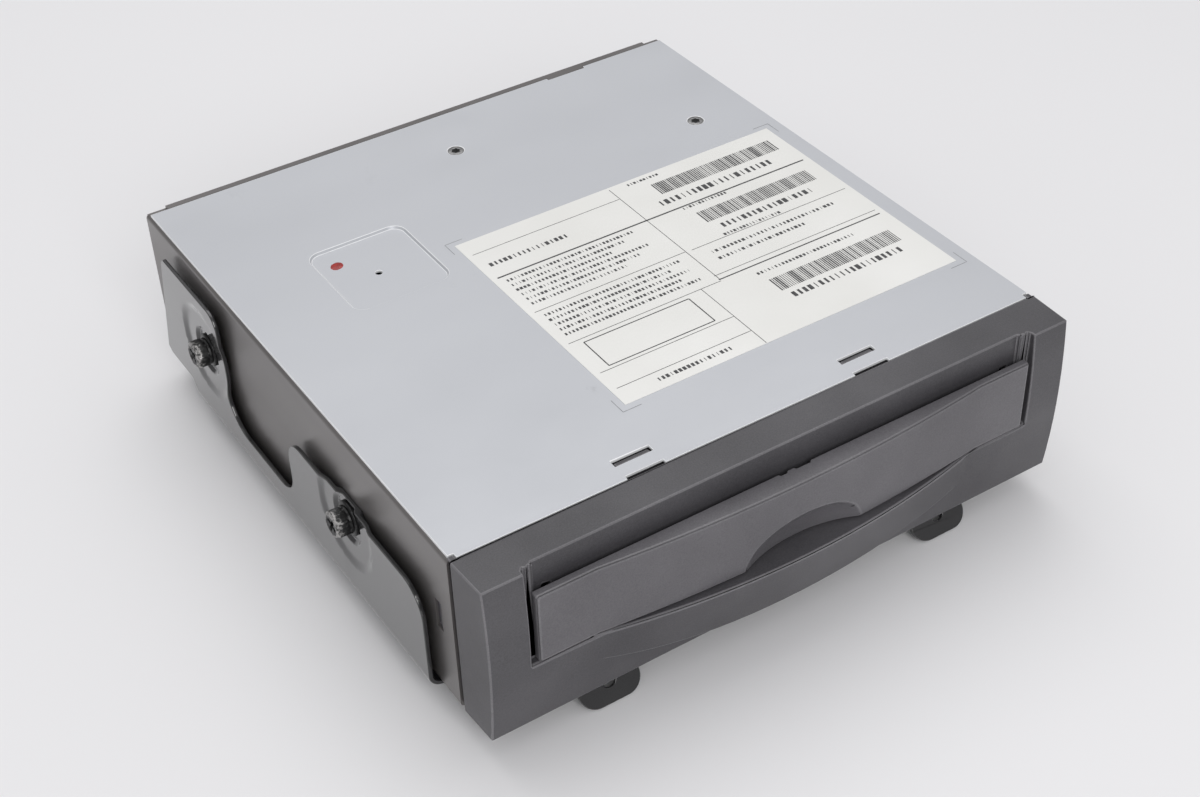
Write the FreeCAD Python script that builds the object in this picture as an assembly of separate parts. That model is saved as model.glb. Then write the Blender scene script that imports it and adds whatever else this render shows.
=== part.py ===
# Car navigation disc reader: a flat, single-height unit in a sheet-metal case, held in a steel cradle.
# Millimetres, +Z up. The front faces -Y. X=0 is the middle of the unit.
# Shapes are drawn with Y=0 at the front of the case and Z=0 at its underside, and are then moved so that
# the part's origin is at the bottom centre of the whole unit.
import FreeCAD, Part
import math
import os

V = FreeCAD.Vector

# Case
case_width = 178.0
case_depth = 175.0
case_height = 49.5
case_sheet = 0.8
case_bend = 1.3
cover_sheet = 0.8
cover_inset = 0.7
cover_rear_gap = 2.0
top_flange = 8.0
rear_relief = 1.4
rear_return = 4.7
seam_gap = 1.5
seam_rear_share = 0.6
snap_slot_length = 11.0
snap_slot_width = 2.2
snap_slot_x = 34.5
snap_slot_y = 6.5
snap_step_depth = 1.2
side_window_y = 7.7
side_window_width = 3.0
side_window_z = 26.0
side_window_height = 9.4

# Pressed square and screws of the cover
pressed_x = -46.8
pressed_y = 112.2
pressed_width = 29.6
pressed_length = 31.6
pressed_corner = 4.0
pressed_depth = 0.8
pressed_slope = 0.5
pressed_hole_r = 1.0
cover_screws_x = [0.5, 68.5]
cover_screws_rear = [22.7, 50.2]
cover_screw_head_r = 2.6
cover_screw_shank_r = 1.25
cover_screw_length = 6.0
cover_post_r = 3.5
label_x0 = -25.0
label_x1 = 83.0
label_y0 = 23.4
label_y1 = 108.5
label_thick = 0.1

# Front bezel: a moulding whose face curves gently up and down
face_bottom_y = -12.8
face_middle_y = -14.6
face_top_y = -13.5
face_middle_z = 25.0
bezel_draft = 0.85
bezel_wall = 2.2
sill_top = 20.4
sill_edge = 0.5
opening_half = 77.1
recess_y = -10.7
recess_wall = 2.0
guide_land_inner = 73.8
guide_land_depth = 1.1
flute_width = 0.8
flute_depth = 0.5
spigot_wall = 1.5
spigot_clearance = 0.15
spigot_length = 10.6
slot_half = 62.0
slot_height = 6.4
felt_thick = 1.0
felt_inset = 0.2
lip_half = 59.5
lip_top_reach = 7.0
lip_bottom_reach = 3.0
lip_low_z = 2.7
lip_radius = 212.0
corner_lug = 1.6

# Door: slides straight up until its top edge is level with the top of the bezel
door_half = 75.1
door_bottom = 20.95
door_top = 42.2
door_back_y = -12.5
door_end_thick = 2.5
door_bulge_half = 58.5
door_bulge = 3.5
door_wall = 1.6
door_edge = 0.4
scoop_half = 18.6
scoop_height = 10.8
scoop_depth = 4.4
scoop_wall = 1.5
lug_x = 70.0
lug_thick = 2.0
lug_height = 3.5
lug_z = 29.5
lug_clearance = 0.3
clip_size = 5.5
clip_thick = 1.4
clip_gap = 0.2
detent_strip = 0.3

# Eject button
button_x = 68.3
button_z = 24.4
button_width = 8.0
button_height = 5.0
button_travel = 0.8
button_gap = 0.3
button_front_y = -11.5
button_flange = 0.9
button_flange_thick = 0.8
plunger_r = 1.6
running_gap = 0.05
front_board_thick = 1.2
front_board_left = 5.6
front_board_right = 16.0
front_board_low = 8.0
front_board_high = 43.0
front_boss_places = [(65.6, 12.0), (82.0, 12.0), (82.0, 39.0)]
boss_r = 2.4
peg_r = 1.0

# Mounting cradle: pressed steel, painted black
cradle_sheet = 1.2
cradle_side_gap = 1.8
cradle_bend = 4.2
cradle_front = 11.0
cradle_base_rear = 150.0
wing_rear_top = 160.0
wing_rear_bottom = 169.0
wing_lobe_top = 43.5
wing_lobe_front = 123.8
wing_waist_z = 8.6
wing_ear_rear = 83.3
wing_front_top = 30.8
wing_tail_z = 5.5
wing_screw_y = [51.0, 136.0]
wing_screw_z = 25.2
dish_r = 9.0
dish_slope = 1.2
dish_hole_r = 2.3
tab_x = 53.2
tab_width = 17.9
tab_corner = 5.0
tab_angle = 53.0
tab_length = 9.3
tab_hole_r = 2.1
tab_hole_up = 6.1
tab_tip_y = -12.9
tab_tip_z = -7.9
bead_width = 6.0
bead_depth = 1.0
bead_half = 62.0
bead_y = [36.0, 80.5, 125.0]

# Cradle screws
washer_r = 4.9
washer_thick = 1.0
screw_head_flats = 7.0
screw_head_height = 4.5
screw_shank_r = 2.0
screw_recess = 1.8
screw_length = 7.2
nut_flats = 7.5
nut_thick = 2.6

# Main board and what is on it
board_thick = 1.6
board_z = 5.0
board_side_gap = 3.7
board_y0 = 62.0
board_rear_gap = 4.0
board_gap = 0.6
support_r = 3.0
support_neck_r = 1.4
support_head = 1.2
support_inset_x = 4.5
support_inset_y = 5.0
chip_height = 1.6
memory_height = 1.0
processor = (-14.0, 96.0, 22.0, 22.0)
signal_chip = (14.0, 96.0, 16.0, 16.0)
driver_chip = (-34.0, -21.0, 8.0, 7.0)
ribbon_socket = (-58.0, -23.0, 16.0, 5.0)
ribbon_socket_height = 2.4
memory_x = -58.0
memory_y = 92.0
memory_pitch = 15.0
memory_width = 9.0
memory_length = 14.0
memory_count = 4
tall_can_r = 4.5
tall_can_height = 12.5
tall_can_insets = [15.5, 5.5]
tall_can_rear = 18.0
short_can_r = 4.0
short_can_height = 10.0
short_can_inset = 10.5
short_can_rear = 29.0
receiver_x = 18.0
receiver_width = 17.0
receiver_rear = 2.0
receiver_length = 19.0
receiver_height = 4.0
receiver_sheet = 0.4
sink_inset = 2.5
sink_width = 18.0
sink_rear = 9.0
sink_length = 30.0
sink_foot = 2.5
sink_height = 22.0
sink_fin = 1.0
sink_pitch = 3.4
sink_fins = 6

# Disc drive
disc_y = 74.0
disc_z = 25.4
disc_thick = 1.2
drive_sheet = 1.2
deck_z = 14.0
drive_half = 62.4
drive_y0 = 14.0
drive_rear_gap = 27.5
drive_wall_top = 33.0
ear_x = 71.0
front_ear_y = 38.0
rear_ear_inset = 35.5
ear_r = 7.0
damper_r = 5.5
damper_groove_r = 4.0
damper_bore_r = 2.1
damper_z0 = 11.4
damper_z1 = 17.8
post_r = 4.0
post_neck_r = 2.0
drive_nut = 1.8
motor_r = 12.0
motor_height = 5.4
motor_boss_r = 3.4
spindle_r = 1.0
turntable_r = 15.0
hub_r = 7.4
hub_top = 28.9
puck_r = 14.0
puck_gap = 0.85
puck_flange = 3.4
puck_neck_r = 2.8
puck_head_r = 4.8
arm_z = 32.0
arm_sheet = 1.0
arm_pivot_inset = 13.5
arm_pivot_z = 30.0
pivot_r = 1.5
rod_r = 1.5
rod_x = 24.0
rod_z = 17.6
rod_y0 = 86.6
rod_end_gap = 0.9
sled_y = 98.0
sled_end_gap = 4.1
sled_half_length = 10.5
sled_half_width = 28.0
sled_z0 = 14.8
sled_z1 = 20.6
lens_r = 2.4
lens_holder_r = 6.0
lens_gap = 0.5
screw_x = 34.2
screw_z = 18.6
screw_r = 1.5
feed_neck_r = 0.8
feed_motor_r = 6.0
feed_motor_length = 18.0

# Loading roller and its gears
gear_module = 0.5
tooth_share = 0.40
roller_y = 9.5
roller_z = 22.2
roller_end_r = 3.0
roller_middle_r = 2.7
roller_half = 54.5
roller_grip = 20.0
roller_shaft_r = 1.5
roller_teeth = 24
pinion_teeth = 12
wheel_teeth = 30
drive_teeth = 10
wheel_angle = 38.97
motor_angle = 41.35
gear_plane = 63.6
gear_width = 3.4
wheel_plane = 67.4
wheel_width = 3.0
guide_y0 = 4.2
guide_y1 = 52.0
guide_thick = 1.4
guide_gap = 0.5
guide_cheek_y = 13.6
guide_bow_r = 30.0
guide_ribs_x = [-44.0, -22.0, 0.0, 22.0, 44.0]
guide_rib_height = 1.6
load_motor_r = 6.0
load_motor_flat = 5.0
load_motor_length = 20.0

# Rear sockets
rear_plug_x = -42.0
rear_plug_z = 15.0
rear_plug_width = 44.0
rear_plug_height = 15.0
rear_plug_reach = 6.0
rear_plug_depth = 20.0
plug_wall = 1.6
plug_cavity = 12.0
pin_reach = 5.5
pin_size = 0.8
pin_pitch = 2.54
fibre_x = 6.0
fibre_width = 20.0
fibre_height = 12.0
fibre_depth = 18.0
fibre_reach = 1.5
fibre_cavity = 8.0
fibre_wall = 1.5
fibre_eye_x = 4.5
aerial_x = 42.0
aerial_z = 14.0
aerial_r = 4.4
aerial_bore_r = 2.6
aerial_reach = 7.0
aerial_body_half = 6.0
aerial_body_depth = 14.0

# Places worked out from the sizes above
half = case_width / 2
cradle_half = half + cradle_side_gap + cradle_sheet
inner_half = half - case_sheet
board_half = inner_half - board_side_gap
board_y1 = case_depth - board_rear_gap
board_top = board_z + board_thick
cover_z = case_height - cover_sheet
drive_y1 = case_depth - drive_rear_gap
arm_pivot_y = drive_y1 - arm_pivot_inset
ear_places = [(side * ear_x, y) for y in (front_ear_y, drive_y1 - rear_ear_inset) for side in (-1, 1)]
cover_screw_places = [(x, case_depth - rear) for x, rear in zip(cover_screws_x, cover_screws_rear)]
rod_y1 = drive_y1 - rod_end_gap
sled_travel = rod_y1 - sled_end_gap - sled_half_length - sled_y
disc_slot_z = disc_z + disc_thick / 2
door_travel = case_height - door_top
lip_front_y = face_middle_y - lip_top_reach
rear_reach = max(rear_plug_reach, aerial_reach)
tab_drop = cradle_sheet * math.cos(math.radians(tab_angle))
foot_z = tab_tip_z - tab_drop
middle_y = (lip_front_y + case_depth + rear_reach) / 2
origin_shift = V(0, -middle_y, -foot_z)


def block(x0, x1, y0, y1, z0, z1):
    return Part.makeBox(x1 - x0, y1 - y0, z1 - z0, V(x0, y0, z0))


def rod(axis, radius, start, length):
    way = {"x": V(1, 0, 0), "y": V(0, 1, 0), "z": V(0, 0, 1)}[axis]
    return Part.makeCylinder(radius, length, V(*start), way)


def mirrored(shape):
    return shape.mirror(V(0, 0, 0), V(1, 0, 0))


def pair(shape):
    return [shape, mirrored(shape)]


def join(shapes):
    return shapes[0].fuse(list(shapes[1:])).removeSplitter()


def moved(shape, x, y, z):
    copy = shape.copy()
    copy.translate(V(x, y, z))
    return copy


def polygon(points, way):
    wire = Part.makePolygon([V(*p) for p in points] + [V(*points[0])])
    return Part.Face(wire).extrude(V(*way))


def outline(edges, way):
    return Part.Face(Part.Wire(edges)).extrude(V(*way))


def line(a, b):
    return Part.LineSegment(V(*a), V(*b)).toShape()


def arc(a, b, c):
    return Part.Arc(V(*a), V(*b), V(*c)).toShape()


def along(shape, axis):
    """Edges of a shape that run straight along one axis."""
    way = {"x": V(1, 0, 0), "y": V(0, 1, 0), "z": V(0, 0, 1)}[axis]
    found = []
    for edge in shape.Edges:
        if isinstance(edge.Curve, Part.Line) and abs(edge.tangentAt(edge.FirstParameter).dot(way)) > 0.999:
            found.append(edge)
    return found


def rounded_block(x0, x1, y0, y1, z0, z1, radius, axis):
    solid = block(x0, x1, y0, y1, z0, z1)
    return solid.makeFillet(radius, along(solid, axis))


def prism(sides, radius, length):
    """A many-sided bar along +Z from Z=0, with its corners at the radius."""
    step = 2 * math.pi / sides
    points = [(radius * math.cos(k * step), radius * math.sin(k * step), 0) for k in range(sides)]
    return polygon(points, (0, 0, length))


def hexagon(flats, length):
    return prism(6, flats / math.sqrt(3), length)


def sides_for(radius):
    """Flats on a round piece that the case hides."""
    if radius < 2.2:
        return 8
    return 12 if radius < 5 else 20


def sided(radius, length):
    return prism(sides_for(radius), radius, length)


def turned_to(shape, axis):
    """A shape drawn along +Z, turned to lie along +X or +Y."""
    turned_shape = shape.copy()
    if axis == "x":
        turned_shape.rotate(V(0, 0, 0), V(0, 1, 0), 90)
    elif axis == "y":
        turned_shape.rotate(V(0, 0, 0), V(1, 0, 0), -90)
    return turned_shape


def bar(axis, radius, start, length):
    """A hidden round piece along an axis: its corners lie at the radius."""
    return moved(turned_to(sided(radius, length), axis), *start)


def bore(axis, radius, start, length):
    """The hole for a hidden round piece: the middles of its flats lie at the radius."""
    return bar(axis, radius / math.cos(math.pi / sides_for(radius)), start, length)


def tapered(low, high):
    """A flat-sided solid between two outlines with equally many points."""
    faces = [Part.Face(Part.makePolygon(ring + ring[:1])) for ring in (low, high)]
    for k in range(len(low)):
        m = (k + 1) % len(low)
        faces.append(Part.Face(Part.makePolygon([low[k], low[m], high[m], high[k], low[k]])))
    solid = Part.makeSolid(Part.makeShell(faces))
    if solid.Volume < 0:
        solid.reverse()
    return solid


def frustum(r0, r1, z0, z1, sides=20):
    """A disc or a tapered disc along +Z."""
    rings = []
    for r, z in ((r0, z0), (r1, z1)):
        step = 2 * math.pi / sides
        rings.append([V(r * math.cos(k * step), r * math.sin(k * step), z) for k in range(sides)])
    return tapered(*rings)


# Case

def chassis_tray():
    """Floor, sides with flanges turned in under the cover, and a rear wall with a lip."""
    front = seam_gap * seam_rear_share
    outer = rounded_block(-half, half, front, case_depth, 0, cover_z, case_bend, "y")
    inside = block(-inner_half, inner_half, front - 1, case_depth + 1, case_sheet, cover_z - case_sheet)
    inside = inside.makeFillet(case_bend - case_sheet, along(inside, "y"))
    mouth = inner_half - top_flange
    tray = outer.cut([inside, block(-mouth, mouth, front - 1, case_depth + 1, cover_z - 2, cover_z + 1)])
    wall_half = half - rear_return - rear_relief
    wall_y = case_depth - case_sheet
    rear = block(-wall_half, wall_half, wall_y, case_depth, case_sheet / 2, case_height)
    lip = block(-wall_half, wall_half, case_depth - cover_rear_gap, case_depth, cover_z, case_height)
    lip_step = block(45.4, 58.7, case_depth - cover_rear_gap - 1, case_depth, cover_z, case_height)
    returns = pair(block(half - rear_return, half - case_sheet / 2, wall_y, case_depth, case_sheet / 2, cover_z))
    tray = join([tray, rear, lip, lip_step] + returns)
    cuts = []
    for window in pair(block(half - 3, half + 1, side_window_y - side_window_width / 2,
                             side_window_y + side_window_width / 2,
                             side_window_z - side_window_height / 2, side_window_z + side_window_height / 2)):
        cuts.append(window)
    cuts.append(rear_plug_hole(0.2))
    cuts.append(fibre_hole(0.2))
    cuts.append(bore("y", aerial_r + 0.2, (aerial_x, wall_y - 1, aerial_z), 4))
    for y in wing_screw_y:
        cuts += pair(bore("x", screw_shank_r + 0.2, (half - 2, y, wing_screw_z), 4))
    return tray.cut(cuts)


def pressed_panel(grow, z):
    """Rounded outline of the pressed square at one height."""
    w = pressed_width / 2 + grow
    d = pressed_length / 2 + grow
    solid = rounded_block(pressed_x - w, pressed_x + w, pressed_y - d, pressed_y + d, z, z + 1,
                          pressed_corner + grow, "z")
    for face in solid.Faces:
        if abs(face.CenterOfMass.z - z) < 1e-6:
            return face.OuterWire
    return None


def pressed_pan(grow, z0, z1):
    return Part.makeLoft([pressed_panel(grow - pressed_slope, z0), pressed_panel(grow, z1)], True, True)


def countersink(x, y, clearance):
    r = cover_screw_head_r + clearance
    low = cover_screw_shank_r + 0.35 + clearance
    return moved(frustum(low, r, 0, cover_sheet), x, y, cover_z)


def top_cover():
    """Plain zinc-coated lid: stepped front edge, snap slots, a pressed square and two countersunk holes."""
    edge = half - cover_inset
    rear = case_depth - cover_rear_gap - 0.1
    lid = block(-edge, edge, 0.05, rear, cover_z, case_height)
    pan_floor = cover_z - pressed_depth
    lid = lid.cut(pressed_pan(0, cover_z - 0.001, case_height + 0.001))
    lid = lid.fuse(pressed_pan(cover_sheet * 0.9, pan_floor, cover_z).cut(
        pressed_pan(0, cover_z - 0.0005, case_height + 0.001)))
    cuts = [bore("z", pressed_hole_r, (pressed_x - 0.9, pressed_y - 1.5, pan_floor - 1), 4)]
    cuts.append(block(45.3, 58.8, rear - 1, rear + 1, cover_z - 1, case_height + 1))
    for side in (-1, 1):
        x0 = side * snap_slot_x - snap_slot_length / 2
        x1 = side * snap_slot_x + snap_slot_length / 2
        y0 = snap_slot_y - snap_slot_width / 2
        y1 = snap_slot_y + snap_slot_width / 2
        cuts.append(block(x0, x1, y0, y1, cover_z - 1, case_height + 1))
        cuts.append(block(x0, x1, -1, snap_step_depth, cover_z - 1, case_height + 1))
    for lug in pair(block(edge - corner_lug, edge + 1, -1, corner_lug, cover_z - 1, case_height + 1)):
        cuts.append(lug)
    for x, y in cover_screw_places:
        cuts.append(countersink(x, y, 0))
    return lid.cut(cuts)


def cover_screws():
    """Countersunk screws with a six-sided socket, flush with the cover."""
    screws = []
    for x, y in cover_screw_places:
        head = countersink(x, y, -0.05)
        low = case_height - cover_screw_length
        shank = moved(sided(cover_screw_shank_r - 0.02, cover_screw_length - 0.4), x, y, low)
        socket = moved(hexagon(2.2, 1.0), x, y, case_height - 0.6)
        screws.append(join([head, shank]).cut(socket))
    return Part.makeCompound(screws)


def cover_posts():
    """Threaded posts from the floor of the case up to the cover."""
    posts = []
    for x, y in cover_screw_places:
        post = moved(hexagon(2 * cover_post_r * 0.92, cover_z - case_sheet), x, y, case_sheet)
        posts.append(post.cut(bore("z", cover_screw_shank_r, (x, y, cover_z - 8), 10)))
    return Part.makeCompound(posts)


def blank_label():
    return block(label_x0, label_x1, label_y0, label_y1, case_height, case_height + label_thick)


# Front bezel

def front_form(inset):
    """The outer form of the bezel, moved inwards by one wall for its hollow."""
    low = inset
    high = case_height - inset
    back = 3.0
    edges = [arc((-100, face_bottom_y + inset, low), (-100, face_middle_y + inset, face_middle_z),
                 (-100, face_top_y + inset, high)),
             line((-100, face_top_y + inset, high), (-100, back, high)),
             line((-100, back, high), (-100, back, low)),
             line((-100, back, low), (-100, face_bottom_y + inset, low))]
    side = outline(edges, (200, 0, 0))
    rear = half - inset
    front = half - bezel_draft - inset
    plan = polygon([(-rear, back, -1), (-rear, 0, -1), (-front, -20, -1), (front, -20, -1), (rear, 0, -1),
                    (rear, back, -1)], (0, 0, case_height + 2))
    return side.common(plan)


def lip_outline(inset, z, base_y, front_y):
    """Plan of the lower lip at one height: an arc in front, a straight back inside the bezel."""
    w = lip_half - inset
    y = base_y + inset
    back = recess_y + 0.5
    edges = [arc((-w, y, z), (0, front_y + inset, z), (w, y, z)), line((w, y, z), (w, back, z)),
             line((w, back, z), (-w, back, z)), line((-w, back, z), (-w, y, z))]
    return Part.Wire(edges)


def lower_lip(inset):
    """The swelling under the door: widest at the sill, fading out towards the bottom and the ends."""
    over = 1.0
    low_front = face_bottom_y - lip_bottom_reach
    high_front = low_front + (lip_front_y - low_front) * (sill_top + over) / sill_top
    bottom = lip_outline(inset, 0, face_bottom_y, low_front)
    top = lip_outline(inset, sill_top + over, face_middle_y + 0.3, high_front)
    lip = Part.makeLoft([bottom, top], True, True)
    under = rod("y", lip_radius - inset, (0, -40, lip_low_z + lip_radius), 60)
    roof = block(-100, 100, -40, 10, -1, sill_top + over / 2 if inset == 0 else sill_top - inset)
    return lip.common(under).common(roof)


def bezel_spigot():
    """A rim at the back of the bezel that enters the case."""
    x = inner_half - spigot_clearance
    z0 = case_sheet + spigot_clearance
    z1 = cover_z - case_sheet - spigot_clearance
    t = spigot_wall
    outer = rounded_block(-x, x, -3, spigot_length, z0, z1, 0.6, "y")
    return outer.cut(block(-x + t, x - t, -4, spigot_length + 1, z0 + t, z1 - t))


def snap_hooks():
    """Two wedges through the slots of the cover and one through the window of each side."""
    top = cover_z - case_sheet - spigot_clearance
    w = snap_slot_length / 2 - 0.5
    y0 = snap_slot_y - snap_slot_width / 2 + 0.15
    y1 = snap_slot_y + snap_slot_width / 2 - 0.3
    wedge = polygon([(-w, y0, top - 1), (-w, y1, top - 1), (-w, y1, cover_z + 0.1), (-w, y0, case_height - 0.2)],
                    (2 * w, 0, 0))
    hooks = [moved(wedge, side * snap_slot_x, 0, 0) for side in (-1, 1)]
    inner = inner_half - spigot_clearance - 1
    y0 = side_window_y - side_window_width / 2 + 0.2
    y1 = side_window_y + side_window_width / 2 - 0.3
    z0 = side_window_z - side_window_height / 2 + 0.4
    side_wedge = polygon([(inner, y0, z0), (half - 0.1, y0, z0), (inner_half, y1, z0), (inner, y1, z0)],
                         (0, 0, side_window_height - 0.8))
    return hooks + pair(side_wedge)


def lug_slot_block(clearance, y0, y1):
    """Room for one door lug over its whole travel."""
    return block(lug_x - lug_thick / 2 - clearance, lug_x + lug_thick / 2 + clearance, y0, y1,
                 lug_z - clearance, lug_z + lug_height + door_travel + clearance)


def front_bezel():
    """The moulded front: an open-topped recess for the door, pillars, sill with its lip, and a hollow back."""
    skin_rear = -seam_gap * (1 - seam_rear_share)
    shell = front_form(0)
    shell = shell.cut(block(-100, 100, skin_rear, 10, -1, case_height + 1))
    top_tongue = block(-inner_half + 2, inner_half - 2, skin_rear - 1, -0.05, case_height - bezel_wall, case_height)
    shell = join([shell, lower_lip(0), top_tongue])
    shell = shell.cut(block(-opening_half, opening_half, -30, recess_y, sill_top, case_height + 1))
    edges = []
    for edge in shell.Edges:
        box = edge.BoundBox
        on_sill = abs(box.ZMin - sill_top) < 0.01 and abs(box.ZMax - sill_top) < 0.01
        if on_sill and box.YMax < face_middle_y + 1.2 and box.XLength > 5:
            edges.append(edge)
    shell = shell.makeChamfer(sill_edge, edges)
    hollow = front_form(bezel_wall).cut(
        block(-100, 100, -30, recess_y + recess_wall, sill_top - bezel_wall, case_height + 1))
    pillar = block(opening_half + bezel_wall, half - bezel_wall - 1, -30, 0, bezel_wall, case_height - bezel_wall)
    pillars = [front_form(bezel_wall).common(p) for p in pair(pillar)]
    shell = shell.cut([hollow] + pillars)
    hollow_rear = block(-half + bezel_wall, half - bezel_wall, recess_y + recess_wall, 10,
                        bezel_wall, case_height - bezel_wall)
    shell = shell.cut(hollow_rear)
    lands = pair(block(guide_land_inner, opening_half + 0.5, recess_y - guide_land_depth, recess_y + 0.5,
                       sill_top - 0.5, case_height))
    shell = join([shell, bezel_spigot()] + lands + snap_hooks())
    cuts = [block(-slot_half, slot_half, -20, 0, disc_slot_z - slot_height / 2, disc_slot_z + slot_height / 2)]
    cuts += pair(lug_slot_block(lug_clearance, -20, -5))
    cuts.append(block(button_x - button_width / 2 - button_gap, button_x + button_width / 2 + button_gap, -20, -5,
                      button_z - button_height / 2 - button_gap, button_z + button_height / 2 + button_gap))
    land_mid = (guide_land_inner + opening_half) / 2
    for x in (land_mid - flute_width, land_mid + flute_width):
        groove = block(x - flute_width / 2, x + flute_width / 2, recess_y - guide_land_depth - 1,
                       recess_y - guide_land_depth + flute_depth, sill_top + 1, case_height + 1)
        cuts += pair(groove)
    for side in (-1, 1):
        x = side * snap_slot_x
        cuts.append(block(x - 8, x - snap_slot_length / 2 - 0.5, 3, 12, 40, case_height + 1))
        cuts.append(block(x + snap_slot_length / 2 + 0.5, x + 8, 3, 12, 40, case_height + 1))
    shell = shell.cut(cuts)
    corner = pair(block(half - cover_inset - corner_lug + 0.2, half - 0.3, -1.2, corner_lug - 0.2,
                        cover_z + 0.05, case_height - 0.1))
    start = face_bottom_y + 0.3
    reach = front_board_y() - start
    bosses = []
    for x, z in front_boss_places:
        bosses.append(moved(turned_to(prism(6, boss_r, reach), "y"), x, start, z))
        bosses.append(bar("y", peg_r, (x, start, z), reach + front_board_thick + 0.8))
    return join([shell] + corner + bosses)


def slot_felts():
    """Two felt strips glued along the top and bottom of the disc slot."""
    y0 = recess_y + felt_inset
    y1 = recess_y + recess_wall - felt_inset
    low = disc_slot_z - slot_height / 2
    high = disc_slot_z + slot_height / 2
    w = slot_half - 0.2
    return Part.makeCompound([block(-w, w, y0, y1, low, low + felt_thick),
                              block(-w, w, y0, y1, high - felt_thick, high)])


# Door

def door_form(inset, back):
    """Plan of the door, with flat ends and a shallow arc between them, raised to its height."""
    w = door_half - inset
    front = door_back_y - door_end_thick + inset
    b = door_bulge_half
    z = door_bottom + inset
    edges = [line((-w, back, z), (-w, front, z)), line((-w, front, z), (-b, front, z)),
             arc((-b, front, z), (0, front - door_bulge, z), (b, front, z)),
             line((b, front, z), (w, front, z)), line((w, front, z), (w, back, z)),
             line((w, back, z), (-w, back, z))]
    return outline(edges, (0, 0, door_top - door_bottom - 2 * inset))


def scoop():
    """The thumb's hollow: an ellipse turned about the door's lower edge, which leaves an arch in its face."""
    front = door_back_y - door_end_thick - door_bulge
    centre_to_face = (scoop_height ** 2 - scoop_depth ** 2) / (2 * scoop_depth)
    radius = centre_to_face + scoop_depth
    length = scoop_half * radius / scoop_height
    curve = Part.Ellipse(V(0, 0, 0), length, radius)
    half_curve = Part.Edge(curve, 0, math.pi)
    face = Part.Face(Part.Wire([half_curve, line((-length, 0, 0), (length, 0, 0))]))
    return moved(face.revolve(V(0, 0, 0), V(1, 0, 0), 360), 0, front - centre_to_face, door_bottom)


def door():
    """Curved shutter, hollow behind, with a thumb scoop and a lug at each end that passes into the bezel."""
    body = door_form(0, door_back_y)
    front_edges = []
    for edge in body.Edges:
        box = edge.BoundBox
        flat = box.ZLength < 0.01 and box.YMax < door_back_y - 1
        upright = box.ZLength > 5 and abs(abs(box.XMax) - door_half) < 0.01 and box.YMax < door_back_y - 1
        if flat or upright:
            front_edges.append(edge)
    body = body.makeChamfer(door_edge, front_edges)
    backing = block(-scoop_half - scoop_wall, scoop_half + scoop_wall, -30, 0, door_bottom,
                    door_bottom + scoop_height + scoop_wall)
    hollow = door_form(door_wall, door_back_y + 1).cut(backing)
    body = body.cut([hollow, scoop()])
    ribs = []
    for x in (28.0, 48.0):
        ribs += pair(door_form(0.8, door_back_y - 0.3).common(
            block(x - 0.6, x + 0.6, -30, 0, door_bottom, door_top)))
    lug_rear = recess_y + recess_wall + clip_gap + clip_thick + 0.4
    lug = block(lug_x - lug_thick / 2, lug_x + lug_thick / 2, door_back_y - 1.2, lug_rear, lug_z,
                lug_z + lug_height)
    notches = [block(-4.5, -2.2, door_back_y - 0.6, 0, door_top - 3, door_top + 1),
               block(0.2, 5.0, door_back_y - 0.6, 0, door_top - 3, door_top + 1)]
    return join([body] + ribs + pair(lug)).cut(notches)


def door_guide_clips():
    """Clips pushed onto the lugs behind the bezel's wall, which keep the door against its lands."""
    y = recess_y + recess_wall + clip_gap
    z = lug_z + lug_height / 2
    plate = block(lug_x - clip_size / 2, lug_x + clip_size / 2, y, y + clip_thick,
                  z - clip_size / 2, z + clip_size / 2)
    hole = block(lug_x - lug_thick / 2 - 0.02, lug_x + lug_thick / 2 + 0.02, y - 1, y + clip_thick + 1,
                 lug_z - 0.02, lug_z + lug_height + 0.02)
    return Part.makeCompound(pair(plate.cut(hole)))


def detent_springs():
    """Bowed steel strips beside the lugs' clips, whose bow holds the door where it is left."""
    t = detent_strip
    y = recess_y + recess_wall
    x = lug_x + clip_size / 2 + 1.1
    low = lug_z - 1
    high = lug_z + lug_height + door_travel + 1
    mid = (low + high) / 2
    bow = 0.7
    wide = 2.6
    strip = outline([arc((x, y, low), (x - bow, y, mid), (x, y, high)),
                     line((x, y, high), (x + t, y, high)),
                     arc((x + t, y, high), (x + t - bow, y, mid), (x + t, y, low)),
                     line((x + t, y, low), (x, y, low))], (0, wide, 0))
    feet = [block(x - 0.001, x + t + 2.0, y, y + wide, low - 1.2, low + 0.2),
            block(x - 0.001, x + t + 2.0, y, y + wide, high - 0.2, high + 1.2)]
    return Part.makeCompound(pair(join([strip] + feet)))


# Eject button

def eject_button():
    """Cap, retaining flange behind the bezel's wall, and a stem."""
    w = button_width / 2
    h = button_height / 2
    wall_rear = recess_y + recess_wall
    flange_y = wall_rear + 0.15
    cap = block(button_x - w, button_x + w, button_front_y, flange_y + 0.1, button_z - h, button_z + h)
    cap = cap.makeChamfer(0.8, along(cap, "y"))
    f = button_flange
    flange = block(button_x - w - f, button_x + w + f, flange_y, flange_y + button_flange_thick,
                   button_z - h - f, button_z + h + f)
    return join([cap, flange])


def switch_plunger():
    """The switch's own plunger, which the button's flange pushes."""
    start = recess_y + recess_wall + 0.15 + button_flange_thick
    return bar("y", plunger_r, (button_x, start, button_z), 2.2)


def switch_front_y():
    return recess_y + recess_wall + 0.15 + button_flange_thick + button_travel + 0.2


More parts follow.
